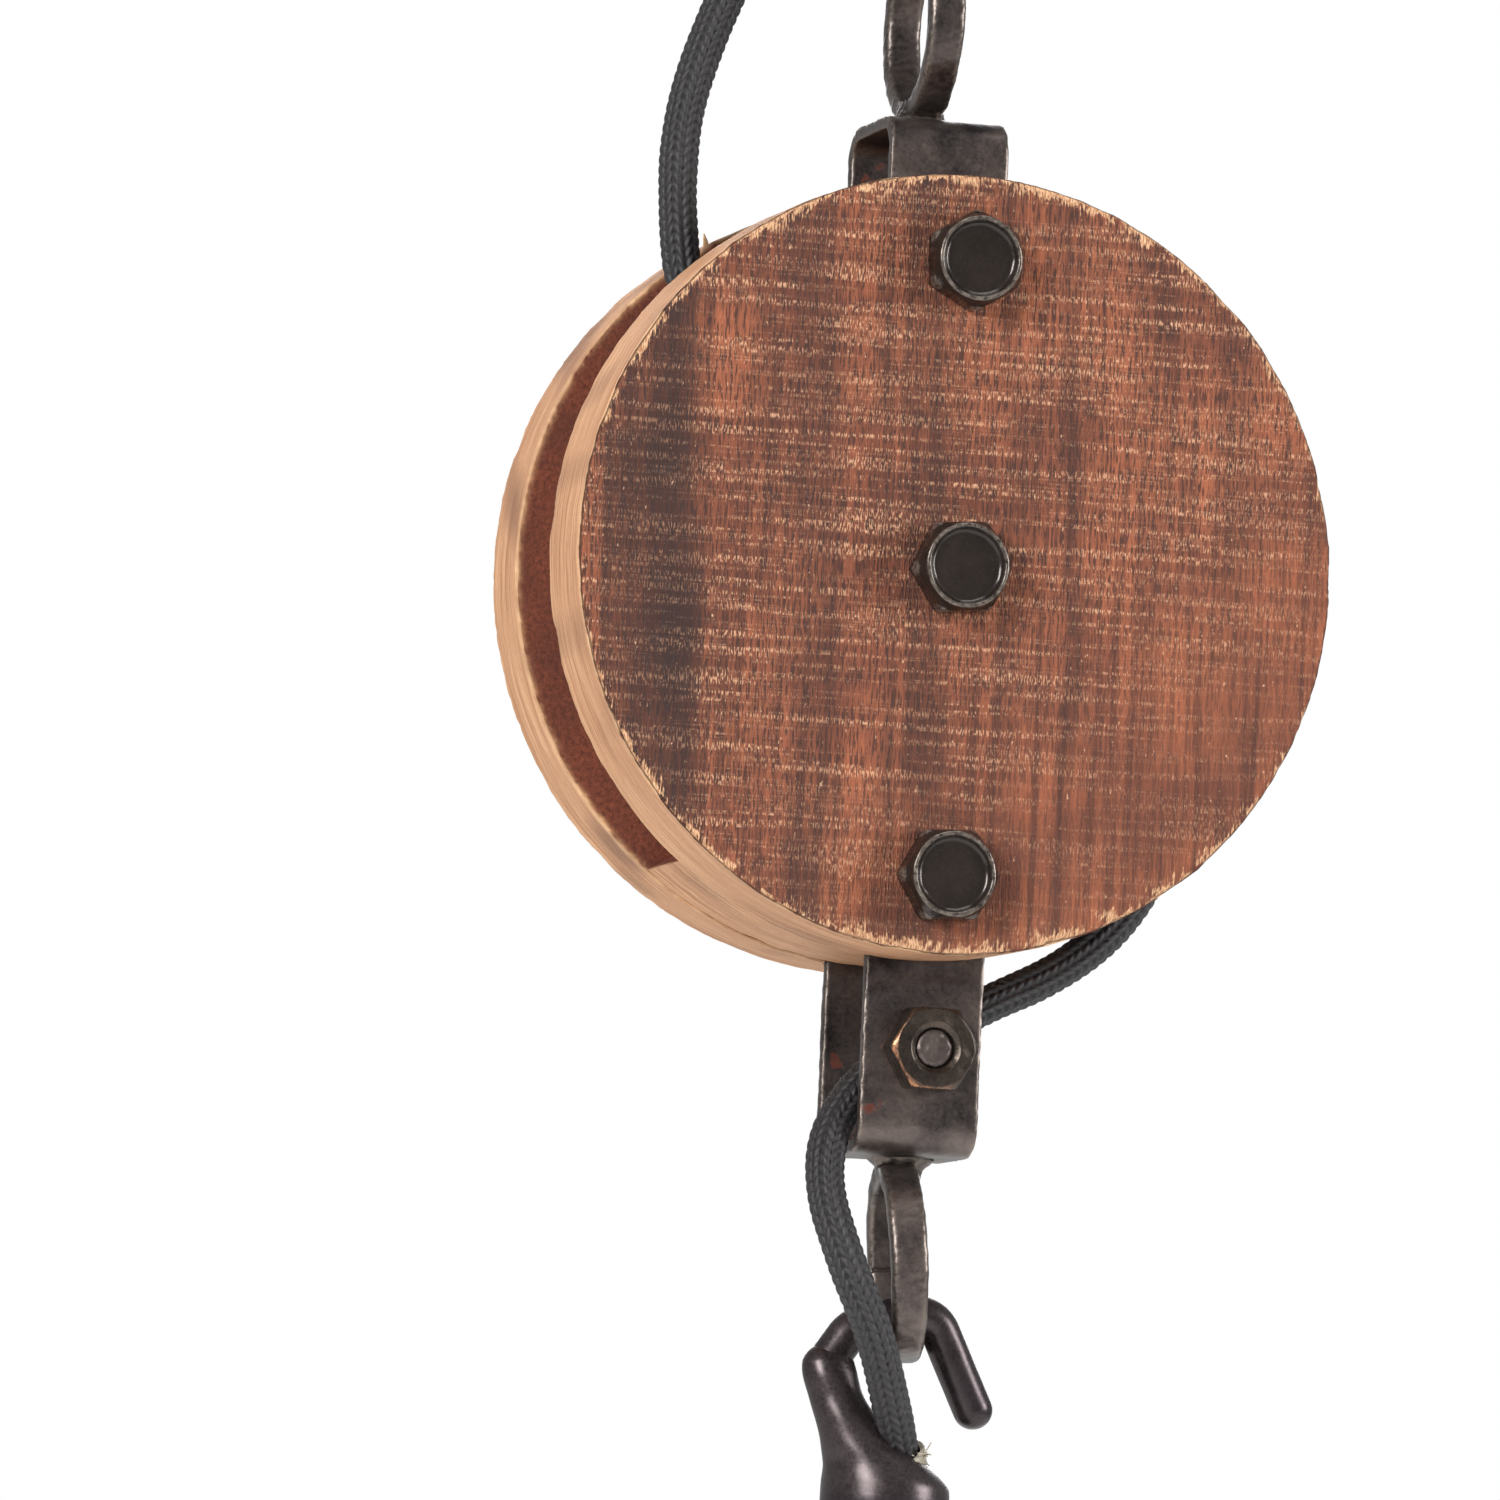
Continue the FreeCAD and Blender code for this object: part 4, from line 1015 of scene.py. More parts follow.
@dataclass
class Cheek:
    """A turned wooden disc, sawn on its outer face, with notches for the straps on its inner one."""

    name: str
    library: Library
    outer_y: float
    inner_y: float
    seed: int
    radius: float = 60.0
    notches: tuple[tuple[float, float], ...] = ((0.6, 1), (2.3, -1))
    notch_half: float = 9.8
    notch_deep: float = 2.2

    def angles(self, radii: np.ndarray) -> tuple[np.ndarray, np.ndarray]:
        """Angles of the grid's columns, gathered so that notch edges stay straight.

        Args:
            radii: radius of each row.
        Returns:
            (rows, columns) angles, and for each column whether it lies in a notch.
        """
        knots = []
        for x, side in self.notches:
            pair = [np.arccos(np.clip((x + way * self.notch_half) / np.maximum(radii, 0.1), -0.8, 0.8))
                    for way in (1, -1)]
            knots += pair if side > 0 else [2 * math.pi - pair[1], 2 * math.pi - pair[0]]
        knots.append(knots[0] + 2 * math.pi)
        counts = (36, 264, 36, 264)
        parts, inside = [], []
        for i, count in enumerate(counts):
            margin = 0.0006 if i % 2 else -0.0006
            t = np.linspace(0, 1, count)
            parts.append(knots[i][:, None] + margin * -1 + t * (knots[i + 1] - knots[i] + 2 * margin)[:, None])
            inside += [i % 2 == 0] * count
        return np.concatenate(parts, 1), np.array(inside)

    def build(self) -> None:
        """Make the disc with a broken arris, growth bands and three surfaces."""
        way = math.copysign(1, self.inner_y - self.outer_y)
        thick = abs(self.inner_y - self.outer_y)
        R = self.radius
        face = np.concatenate([np.linspace(0.05, R - 3, 48), np.linspace(R - 2.7, R - 0.5, 11)])
        rim = np.concatenate([np.linspace(0.5, 2.7, 10), np.linspace(3.2, thick - 2.6, 18),
                              np.linspace(thick - self.notch_deep, thick - 0.25, 8)])
        inner = np.concatenate([np.linspace(R - 0.3, R - 2.4, 7), np.linspace(R - 3, 0.05, 30)])
        radii = np.concatenate([face, [R - 0.22], np.full(len(rim), R), inner])
        depth = np.concatenate([0 * face, [0.2], rim, np.full(len(inner), thick)])
        zone = np.concatenate([np.zeros(len(face) + 1), np.ones(len(rim)), np.full(len(inner), 2)]).astype(int)
        theta, notched = self.angles(radii)
        out = np.stack([np.cos(theta), 0 * theta, np.sin(theta)], -1)
        place = out * radii[:, None, None]
        place[..., 1] = depth[:, None]
        corner = np.exp(-((radii - R) ** 2 + depth**2) / 0.9)[:, None]
        corner = corner + 0.7 * np.exp(-((radii - R) ** 2 + (depth - thick) ** 2) / 0.5)[:, None]
        rough = ripple(place, 2.6, self.seed) + 0.8 * ripple(place, 0.9, self.seed + 1)
        chip = np.clip(ripple(place, 7.0, self.seed + 2) - 0.15, 0, 1) * (0.5 + 0.5 * np.abs(rough))
        bite = corner * (0.05 + 0.06 * rough + 0.35 * chip)
        sink = 0.05 * ripple(place * [3.0, 1, 0.3], 4, self.seed + 3) * (zone == 0)[:, None]
        moved_r = radii[:, None] - bite * 0.8 + 0.06 * ripple(place, 5, self.seed + 4) * (zone == 1)[:, None]
        moved_d = depth[:, None] + np.where(depth[:, None] > thick / 2, -bite, bite) * 0.8 + np.abs(sink)
        limit = thick - self.notch_deep + 0.002 * np.arange(len(radii))[:, None]
        in_notch = notched[None] & (radii > 34)[:, None]
        moved_d = np.where(in_notch, np.minimum(moved_d, limit), moved_d)
        points = out * moved_r[..., None]
        points[..., 1] = self.outer_y + way * moved_d
        arc = theta * R
        grain = np.where((zone == 1)[:, None, None], np.stack([points[..., 1], arc, 0 * arc], -1),
                         points[..., [0, 2, 1]])
        x, z = points[..., 0], points[..., 2]
        near = 0.6 * np.exp(-(np.abs(radii - R) + depth)[:, None] / 0.35)
        ends = np.exp(-np.clip(np.sqrt(np.clip(R**2 - x**2, 0, None)) - np.abs(z), 0, None) / 1.8)
        wear_and_painted_light = np.maximum(near, np.where((zone == 0)[:, None], 0.9 * ends, 0))
        wear_and_painted_light = np.maximum(wear_and_painted_light, 0.6 * corner * (zone != 0)[:, None])
        calm = np.clip((0.6 * x - 0.8 * z - 12) / 30, 0, 1) * (zone == 0)[:, None]
        Surface(self.name + "_disc", points, bands=zone[:, None],
                attributes={"grain": grain, "tone": self.tone(points, zone), "calm": calm,
                            "wear_and_painted_light": np.clip(wear_and_painted_light * (0.8 + 0.5 * rough + chip), 0, 1)}).build(
            self.library.wood, Body.BLOCK, [self.name], "wood")

    def tone(self, points: np.ndarray, zone: np.ndarray) -> np.ndarray:
        """Darkness of the growth bands on the sawn face, and stains on the rim.

        Args:
            points: the grid.
            zone: which surface each row is on.
        Returns:
            Values from 0 to 1.
        """
        x, z = points[..., 0], points[..., 2]
        bend = x + 1.2 * np.sin(z / 30 + self.seed) + 0.02 * z + 0.6 * ripple(points * [1, 1, 0.3], 6, self.seed)
        bands = sum(deep * np.exp(-((bend - at) / wide) ** 4) for at, wide, deep in (
            (-55, 3, 0.6), (-47, 5.5, 0.85), (-31.5, 1.2, 0.3), (-24, 4, 0.45), (-12, 1.2, 0.35), (-6, 3.6, 0.5),
            (8, 2.2, 0.25), (17, 1.6, 0.4), (30, 2.5, 0.2), (44, 4, 0.3)))
        cloud = 0.5 + 0.5 * ripple(points, 24, self.seed + 7)
        stain = np.clip(ripple(points, 16, self.seed + 9) - 0.2, 0, 1)
        return np.where((zone == 0)[:, None], np.clip(bands * (0.85 + 0.4 * cloud), 0, 1), 0.7 * stain)


@dataclass
class Splinters:
    """Torn slivers that stand up from the rear cheek's rim beside the upper cord."""

    library: Library
    roots: tuple[tuple[float, float, float], ...] = (
        (-31.4, 11.0, 50.6), (-32.6, 11.6, 49.8), (-33.4, 10.9, 49.4))
    tall: float = 3.2

    def build(self) -> None:
        """Make each sliver: a flat section that shrinks towards its tip along a slightly bent line."""
        angles = circle(12)
        outline = np.stack([0.75 * np.cos(angles), 0.22 * np.sin(angles)], -1)
        for number, root in enumerate(self.roots):
            t = np.linspace(0, 1, 16)
            rise = self.tall * (1 - 0.22 * number)
            line = np.array(root) + np.stack([-0.25 * t - 0.3 * t**2, 0.2 * t**2, rise * t - 0.8], -1)
            section = outline * (1 - 0.85 * t**1.5)[:, None, None]
            Surface(f"splinter_{number}", worn(sweep(line, (1, 0.3, 0), section), 0.05, 1.2, 131)).build(
                [self.library.splinter], Body.BLOCK, slot="wood")


@dataclass
class Spacer:
    """A wooden segment between the cheeks."""

    name: str
    library: Library
    inner: tuple[tuple[float, float], ...]
    side: float
    radius: float = 59.6

    def build(self) -> None:
        """Make the segment: its outline carried from cheek to cheek."""
        (x0, _), *middle, (x1, _) = self.inner
        a0, a1 = (math.atan2(self.side * math.sqrt(self.radius**2 - x**2), x) for x in (x0, x1))
        arc = np.linspace(a1, a0, 90)
        rim = self.radius * np.stack([np.cos(arc), np.sin(arc)], -1)
        rest = evenly(np.vstack([rim[-1:], np.array(middle), rim[:1]]), 0.8)[1:-1]
        line = np.vstack([rim, rest])
        depth = np.linspace(-9.97, 9.97, 30)
        points = np.stack([np.broadcast_to(line[:, 0], (30, len(line))),
                           np.broadcast_to(depth[:, None], (30, len(line))),
                           np.broadcast_to(line[:, 1], (30, len(line)))], -1)
        reach = np.concatenate([[0], np.cumsum(np.linalg.norm(np.diff(line, axis=0), axis=1))])
        grain = np.stack([points[..., 1], np.broadcast_to(reach, (30, len(line))), 0 * points[..., 1]], -1)
        on_rim = np.arange(len(line)) < len(rim)
        grain = np.where(on_rim[None, :, None], grain, points[..., [0, 2, 1]])
        points = worn(points, 0.09, 4, 63)
        Surface(self.name + "_block", points, bands=np.where(on_rim, 1, 2)[None],
                attributes={"grain": grain, "wear_and_painted_light": np.zeros(points.shape[:2]),
                            "tone": 0.5 * np.clip(ripple(points, 14, 66) - 0.2, 0, 1)}).build(
            self.library.wood, Body.BLOCK, [self.name], "wood")


@dataclass
class ThroughBolt:
    """Dished hexagon bolt with a rear washer, nut and thread."""

    place: str
    library: Library
    z: float
    turn: float
    front: float = -28.0
    rear: float = 24.3
    head_flats: float = 13.7
    head_height: float = 5.4
    nut_flats: float = 13.0

    def build(self) -> None:
        """Make the head, shank, washer, nut and thread."""
        steel = [self.library.metal["bolt"]]
        height, outer = self.head_height, self.head_flats / math.sqrt(3) + 0.2
        head = np.vstack([[(6.0, 0.0)], polyline(
            (outer, 0, 0), (outer, 2.9, 0.8), (7.0, 4.2, 1.6), (6.5, height, 0.3), (6.0, height, 0.2),
            (5.35, 4.35, 0.9), (0.04, 4.3, 0), step=0.12)])
        points = lathe(head, (0, self.front, self.z), (0, -1, 0), 144, hexed=self.head_flats, turn=self.turn)
        radius = np.hypot(points[..., 0], points[..., 2] - self.z)
        depth = self.front - points[..., 1]
        wear_and_painted_light = np.exp(-((radius - 6.25) / 0.3) ** 2) * (depth > height - 0.3)
        wear_and_painted_light = np.clip(0.8 * wear_and_painted_light + 0.6 * (radius > 7.35) * (depth > 1.0), 0, 1)
        Surface(f"bolt_{self.place}_head", worn(points, 0.03, 2.5, 71), attributes={"wear_and_painted_light": wear_and_painted_light}).build(
            steel, Body.BLOCK, [f"bolt_{self.place}"], "bolt_steel")
        end = placed(thread(3.95, 1.25, 12.0), (0, self.rear - 2, self.z), (0, 1, 0))
        Surface(f"bolt_{self.place}_thread", end).build(steel, Body.BLOCK, slot="bolt_steel")
        shank = lathe(polyline((0.1, 0, 0), (4, 0, 0.2), (4, 51, 0.2), (0.1, 51, 0), step=1.0),
                      (0, self.front, self.z), (0, 1, 0), 48)
        Surface(f"bolt_{self.place}_shank", shank).build(steel, Body.BLOCK, slot="bolt_steel")
        washer = polyline((4.2, 0, 0.2), (9, 0, 0.5), (9, 1.6, 0.6), (4.2, 1.6, 0.3), step=0.25)
        Surface(f"washer_{self.place}_disc", lathe(washer, (0, self.rear, self.z), (0, 1, 0)), ring=True).build(
            steel, Body.BLOCK, [f"washer_{self.place}"], "bolt_steel")
        nut = hex_profile(self.nut_flats, 6.5, True, [(4.7, 6.5, 0.3), (4.0, 5.9, 0)])
        nut = np.vstack([nut, [(4.0, 0.4), (4.9, 0.0)]])
        points = lathe(nut, (0, self.rear + 1.6, self.z), (0, 1, 0), 144, hexed=self.nut_flats,
                       turn=2 * self.turn)
        Surface(f"nut_{self.place}_hex", points).build(steel, Body.BLOCK, [f"nut_{self.place}"], "bolt_steel")


@dataclass
class StrapClamp:
    """The short bolt and nut through the lower strap's front leg."""

    library: Library
    x: float = 2.8
    z: float = -73.6
    face: float = -12.1
    flats: float = 12.4

    def build(self) -> None:
        """Make the nut, the recessed bolt end and the inner head."""
        steel = [self.library.metal["nut"]]
        outer = self.flats / math.sqrt(3) + 0.2
        nut = np.vstack([[(4.4, 0.0)], polyline(
            (outer - 0.5, 0, 0), (outer, 0.4, 0), (outer, 5.1, 0.5), (6.1, 5.9, 0.5), (4.0, 6.0, 0.4),
            (3.1, 5.35, 0.5), (3.0, 3.0, 0), step=0.14), [(3.0, 0.3)]])
        points = lathe(nut, (self.x, self.face, self.z), (0, -1, 0), 144, hexed=self.flats, turn=30)
        radius = np.hypot(points[..., 0] - self.x, points[..., 2] - self.z)
        # Partly wear, partly painted highlight: the pale copper bare colour goes on the top chamfer and the foot
        # only on the left and lower-left, the side the key light falls on.
        side = np.clip(-(points[..., 0] - self.x + 0.6 * (points[..., 2] - self.z)) / 5, 0, 1)
        chamfer = np.exp(-((self.face - points[..., 1] - 5.5) / 0.35) ** 2) * (radius > 5.9)
        wear_and_painted_light = np.clip((chamfer + 0.5 * (self.face - points[..., 1] < 0.5)) * side, 0, 1)
        Surface("strap_nut_hex", worn(points, 0.05, 2.2, 81), ring=True, attributes={"wear_and_painted_light": wear_and_painted_light}).build(
            steel, Body.BLOCK, ["strap_nut"], "strap_steel")
        end = polyline((0.05, 5.2, 0), (2.3, 5.25, 0.4), (2.95, 4.9, 0.3), (2.98, 4.4, 0.1), (2.98, -2, 0),
                       (5.9, -2, 0.2), (5.9, -4.1, 0.9), (0.05, -4.2, 0), step=0.2)
        points = lathe(end, (self.x, self.face, self.z), (0, -1, 0), 72)
        Surface("strap_bolt_end", worn(points, 0.05, 1.6, 83), attributes={"wear_and_painted_light": np.zeros(points.shape[:2])}
                ).build([self.library.metal["strap"]], Body.BLOCK, ["strap_bolt"], "strap_steel")


@dataclass
class SheaveWheel:
    """Grooved wheel and its bush on the centre bolt."""

    library: Library
    z: float = -0.75

    def build(self) -> None:
        """Make the wheel and the bush."""
        wheel = polyline((6.02, -7.5, 0.3), (21, -7.5, 0.8), (21, -4.6, 0.9), (15.7, -2.2, 2), (15.7, 2.2, 2),
                         (21, 4.6, 0.9), (21, 7.5, 0.8), (6.02, 7.5, 0.3), step=0.4)
        points = lathe(wheel, (0, 0, self.z), (0, 1, 0), 160)
        wear_and_painted_light = np.exp(-((wheel[:, 0] - 15.8) / 1.2) ** 2)[:, None] * np.ones(160)
        Surface("sheave_wheel", worn(points, 0.03, 5, 91), ring=True, attributes={"wear_and_painted_light": wear_and_painted_light}).build(
            [self.library.metal["iron"]], Body.SHEAVE, ["sheave"], "sheave_iron")
        bush = polyline((4.05, -9.5, 0.2), (6, -9.5, 0.3), (6, 9.5, 0.3), (4.05, 9.5, 0.2), step=0.4)
        Surface("sheave_bush_tube", lathe(bush, (0, 0, self.z), (0, 1, 0)), ring=True).build(
            [self.library.metal["brass"]], Body.SHEAVE, ["sheave_bush"], "bush_brass")


@dataclass
class HookCap:
    """Round bar hooked in the lower ring, on a cast arm that widens into a hollow cap."""

    library: Library
    bar: tuple[tuple[float, float, float], ...] = (
        (-7.4, -122.0, 0), (-3.2, -115.9, 6), (9.2, -112.9, 4.6), (16.5, -127.9, 0))
    bar_radius: float = 3.1
    sections: tuple[tuple[float, float, float, float, float], ...] = (
        (-118.6, -10.4, -3.8, 5.6, 0.0), (-122.6, -11.2, -2.6, 7.4, -0.2), (-127.8, -9.8, -0.7, 8.4, -0.8),
        (-131.2, -8.7, 2.0, 9.8, -1.2),
        (-134.6, -7.7, 5.2, 12.2, -1.2), (-137.4, -7.0, 9.8, 16.2, -0.5), (-140.0, -7.0, 12.6, 19.3, 0.0),
        (-142.4, -7.02, 13.02, 20.0, 0.0))
    x: float = 3.0
    bottom: float = -160.0
    cord_end: tuple[float, float, float] = (6.8, 0.9, -141.4)
    cord_heading: tuple[float, float, float] = (8.4, 13.2, -20.4)
    fray_root: tuple[float, float, float] = (6.6, -4.6, -135.4)
    fray_aim: tuple[float, float, float] = (0.8, -0.55, 0.35)
    strands: int = 12

    def build(self) -> None:
        """Make the bar, the cap, its bush, plug, nipple and nut."""
        iron = [self.library.metal["cap"]]
        line = evenly(rounded(self.bar, steps=20), 0.35)
        path = np.stack([line[:, 0], 0 * line[:, 0], line[:, 1]], -1)
        heading = [unit(path[0] - path[1]), unit(path[-1] - path[-2])]
        t = np.sin(np.linspace(0, math.pi / 2, 12))[1:]
        fall = self.bar_radius * np.sqrt(np.clip(1 - t**2, 0.0005, 1))
        first = path[0] + t[::-1, None] * self.bar_radius * heading[0]
        last = path[-1] + t[:, None] * self.bar_radius * heading[1]
        radii = np.concatenate([fall[::-1], np.full(len(path), self.bar_radius), fall])
        path = np.vstack([first, path, last])
        angles = circle(56)
        ring = np.stack([np.cos(angles), np.sin(angles)], -1)
        points = worn(sweep(path, (0, 1, 0), ring * radii[:, None, None]), 0.03, 6, 101)
        wear_and_painted_light = np.exp(-((path[:, 2] + 117) / 4) ** 2)[:, None] * np.full(56, 0.12)
        Surface("hook_bar_cast", points, attributes={"wear_and_painted_light": wear_and_painted_light}).build(
            iron, Body.CAP, ["hook_bar"], "cap_iron")
        self.cap(iron)
        self.bush()
        self.plug()

    def cap(self, iron: list[bpy.types.Material]) -> None:
        """The arm and base, from the hollow's roof down to the rim and up the outside.

        Args:
            iron: its finish.
        """
        table = np.array(self.sections)[::-1]
        z = table[0, 0] + (table[-1, 0] - table[0, 0]) * np.sin(np.linspace(0, math.pi / 2, 90))
        left, right, deep, mid = smooth_table(z, table[:, 0], table[:, 1:]).T
        fall = np.clip((z - z[-1] + 3.4) / 3.4, 0, 1)
        top = np.sqrt(1 - 0.995 * fall**2)
        outer = np.stack([(left + right) / 2, mid, z, (right - left) / 2 * top, deep / 2 * top], -1)
        wall = np.linspace(self.bottom + 0.4, table[0, 0], 30)[:-1]
        base = np.stack([np.full(29, self.x), 0 * wall, wall, np.full(29, 10.02), np.full(29, 10.0)], -1)
        roof = self.bottom + 18.5
        inside = [(0.05, roof), (4, roof), (7.8, roof), (8.2, roof - 0.5), (8.2, roof - 9),
                  (8.2, self.bottom + 0.3), (8.5, self.bottom), (9.6, self.bottom)]
        hollow = np.array([(self.x, 0, h, r, r) for r, h in inside])
        rows = np.vstack([hollow, base, outer])
        angles = circle(96)
        x, y = rows[:, :1] + rows[:, 3:4] * np.cos(angles), rows[:, 1:2] + rows[:, 4:] * np.sin(angles)
        points = np.stack(np.broadcast_arrays(x, y, rows[:, 2:3]), -1)
        lumps = np.clip((rows[:, 2] - table[0, 0]) / 6, 0, 1)[:, None, None]
        points = points + (worn(points, 0.05, 6, 111) - points) * lumps
        wear_and_painted_light = np.repeat(np.clip((rows[:, 2] - table[0, 0]) / 12, 0, 0.12)[:, None], 96, 1)
        Surface("hook_cap_cast", points, attributes={"wear_and_painted_light": wear_and_painted_light}).build(
            iron, Body.CAP, ["hook_cap"], "cap_iron")

    def bush(self) -> None:
        """Linen bush round the cord's end, and the frayed fibres that stand out beside it."""
        heading = unit(np.array(self.cord_heading))
        tube = polyline((3.15, 0, 0.1), (3.9, 0, 0.2), (3.9, 7.5, 0.2), (3.15, 7.5, 0.1), step=0.2)
        place = np.array(self.cord_end) - 8 * heading
        Surface("cord_bush_tube", worn(lathe(tube, place, heading, 64), 0.08, 1.5, 115), ring=True).build(
            [self.library.linen], Body.CAP, ["cord_bush"], "bush_linen")
        rng = np.random.default_rng(7)
        for number in range(self.strands):
            root = np.array(self.fray_root) + rng.normal(size=3) * [0.5, 0.7, 0.5]
            aim = unit(np.array(self.fray_aim) + 0.45 * rng.normal(size=3))
            droop = rng.normal(size=3) * 0.7
            t = np.linspace(0, 1, 10)[:, None]
            strand = root + aim * t * rng.uniform(1.0, 2.4) + droop * t**2
            angles = circle(6)
            section = 0.11 * np.stack([np.cos(angles), np.sin(angles)], -1)
            Surface(f"cord_fray_{number}", sweep(strand, (0.1, 0.2, 1), section)).build(
                [self.library.linen], Body.CAP, slot="bush_linen")

    def plug(self) -> None:
        """Plug, nipple, its thread and its nut below the cap."""
        steel = [self.library.metal["nipple"]]
        place = (self.x, 0, self.bottom)
        disc = polyline((4.8, 0, 0.3), (8.15, 0, 0.4), (8.15, 3, 0.4), (4.8, 3, 0.2), step=0.25)
        Surface("cap_plug_disc", lathe(disc, place, (0, 0, 1)), ring=True).build(
            [self.library.metal["cap"]], Body.CAP, ["cap_plug"], "cap_iron")
        outside = thread(5.0, 1.0, 12.0, 0.4, 96)[::-1]
        tall = np.linspace(-12, 9, 40)[:, None]
        angles = circle(96)
        neck = np.stack([4.7 * np.cos(angles), 4.7 * np.sin(angles), np.full(96, 9.0)], -1)[None]
        bore = np.stack(np.broadcast_arrays(3.7 * np.cos(angles), 3.7 * np.sin(angles), tall), -1)
        shell = np.vstack([outside[::-1] - [0, 0, 12], neck * [1, 1, 0] + [0, 0, 0.1], neck, bore[::-1]])
        Surface("cap_nipple_thread", placed(shell, place), ring=True).build(
            steel, Body.CAP, ["cap_nipple"], "nipple_steel")
        nut = hex_profile(13.6, 4.0, True, [(5.2, 4.0, 0.2), (4.75, 3.6, 0)])
        nut = np.vstack([nut, [(4.75, 0.3), (5.4, 0.0)]])
        Surface("nipple_nut_hex", lathe(nut, (self.x, 0, self.bottom + 3.05), (0, 0, 1), 120, hexed=13.6)).build(
            steel, Body.CAP, ["nipple_nut"], "nipple_steel")


@dataclass
class Cord:
    """A round braided cord whose line is a smooth spline through its route."""

    name: str
    library: Library
    route: tuple[tuple[float, float, float], ...]
    bodies: tuple[Body, Body]
    bend: tuple[tuple[float, float, float], tuple[float, float, float]]
    exit: tuple[float, float, float]
    length: float
    diameter: float = 6.1
    yarns: int = 12

    def line(self) -> np.ndarray:
        """Returns: points along the spline, in metres in the model's frame."""
        curve = bpy.data.curves.new(self.name + "_line", "CURVE")
        curve.dimensions = "3D"
        spline = curve.splines.new("NURBS")
        spline.points.add(len(self.route) - 1)
        for point, (x, y, z) in zip(spline.points, self.route):
            point.co = (x * MM, y * MM, (z - DROP) * MM, 1)
        spline.order_u = 3
        spline.use_endpoint_u = True
        curve.resolution_u = 40
        holder = bpy.data.objects.new(self.name + "_line", curve)
        bpy.context.scene.collection.objects.link(holder)
        mesh = bpy.data.meshes.new_from_object(holder)
        points = np.array([v.co for v in mesh.vertices])
        bpy.data.objects.remove(holder)
        bpy.data.curves.remove(curve)
        bpy.data.meshes.remove(mesh)
        return points

    def build(self) -> bpy.types.Object:
        """Make the braided tube.

        Returns:
            The cord.
        """
        metres = self.line()
        path = evenly(metres / MM + [0, 0, DROP], 0.26)
        angles, reach = circle(96), np.arange(len(path)) * 0.26
        pitch = math.pi * self.diameter / self.yarns
        turns = angles[None] * self.yarns / (2 * math.pi)
        a, b = turns + reach[:, None] / pitch, turns - reach[:, None] / pitch
        ridge_a = np.sqrt(np.clip(1 - (2 * (a % 1) - 1) ** 2, 0, 1))
        ridge_b = np.sqrt(np.clip(1 - (2 * (b % 1) - 1) ** 2, 0, 1))
        lift = np.sin(math.pi / 2 * (a + b))
        high_a, high_b = 0.55 * ridge_a + 0.45 * lift, 0.55 * ridge_b - 0.45 * lift
        over = high_a > high_b
        height = np.where(over, high_a, high_b)
        radius = self.diameter / 2 - 0.75 * (1 - np.clip(height, 0, 1))
        radius *= 1 + 0.012 * ripple(np.stack([reach, 0 * reach, 0 * reach], -1), 6, 121)[:, None]
        section = np.stack([radius * np.cos(angles), radius * np.sin(angles)], -1)
        points = sweep(path, (0, 1, 0), section)
        weave = np.where(over[..., None], np.stack([a % 1, b, np.floor(a)], -1),
                         np.stack([b % 1, a, np.floor(b) + 37], -1))
        # Painted-shade mask: 0 in the gaps between the yarns, where the braid finish paints near-black shade, and 1
        # on the yarn tops.
        wear_and_painted_light = np.clip(2.4 * height - 0.8, 0, 1)
        cord = Surface(self.name + "_braid", points, attributes={"weave": weave, "wear_and_painted_light": wear_and_painted_light}, sharp=180).build(
            [self.library.braid], None, [self.name], "cord_textile")
        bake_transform(cord, self.bodies[0].value, self.bodies[1].value, *self.bend)
        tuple(self.exit)
        return cord


# ---------------------------------------------------------------- studio


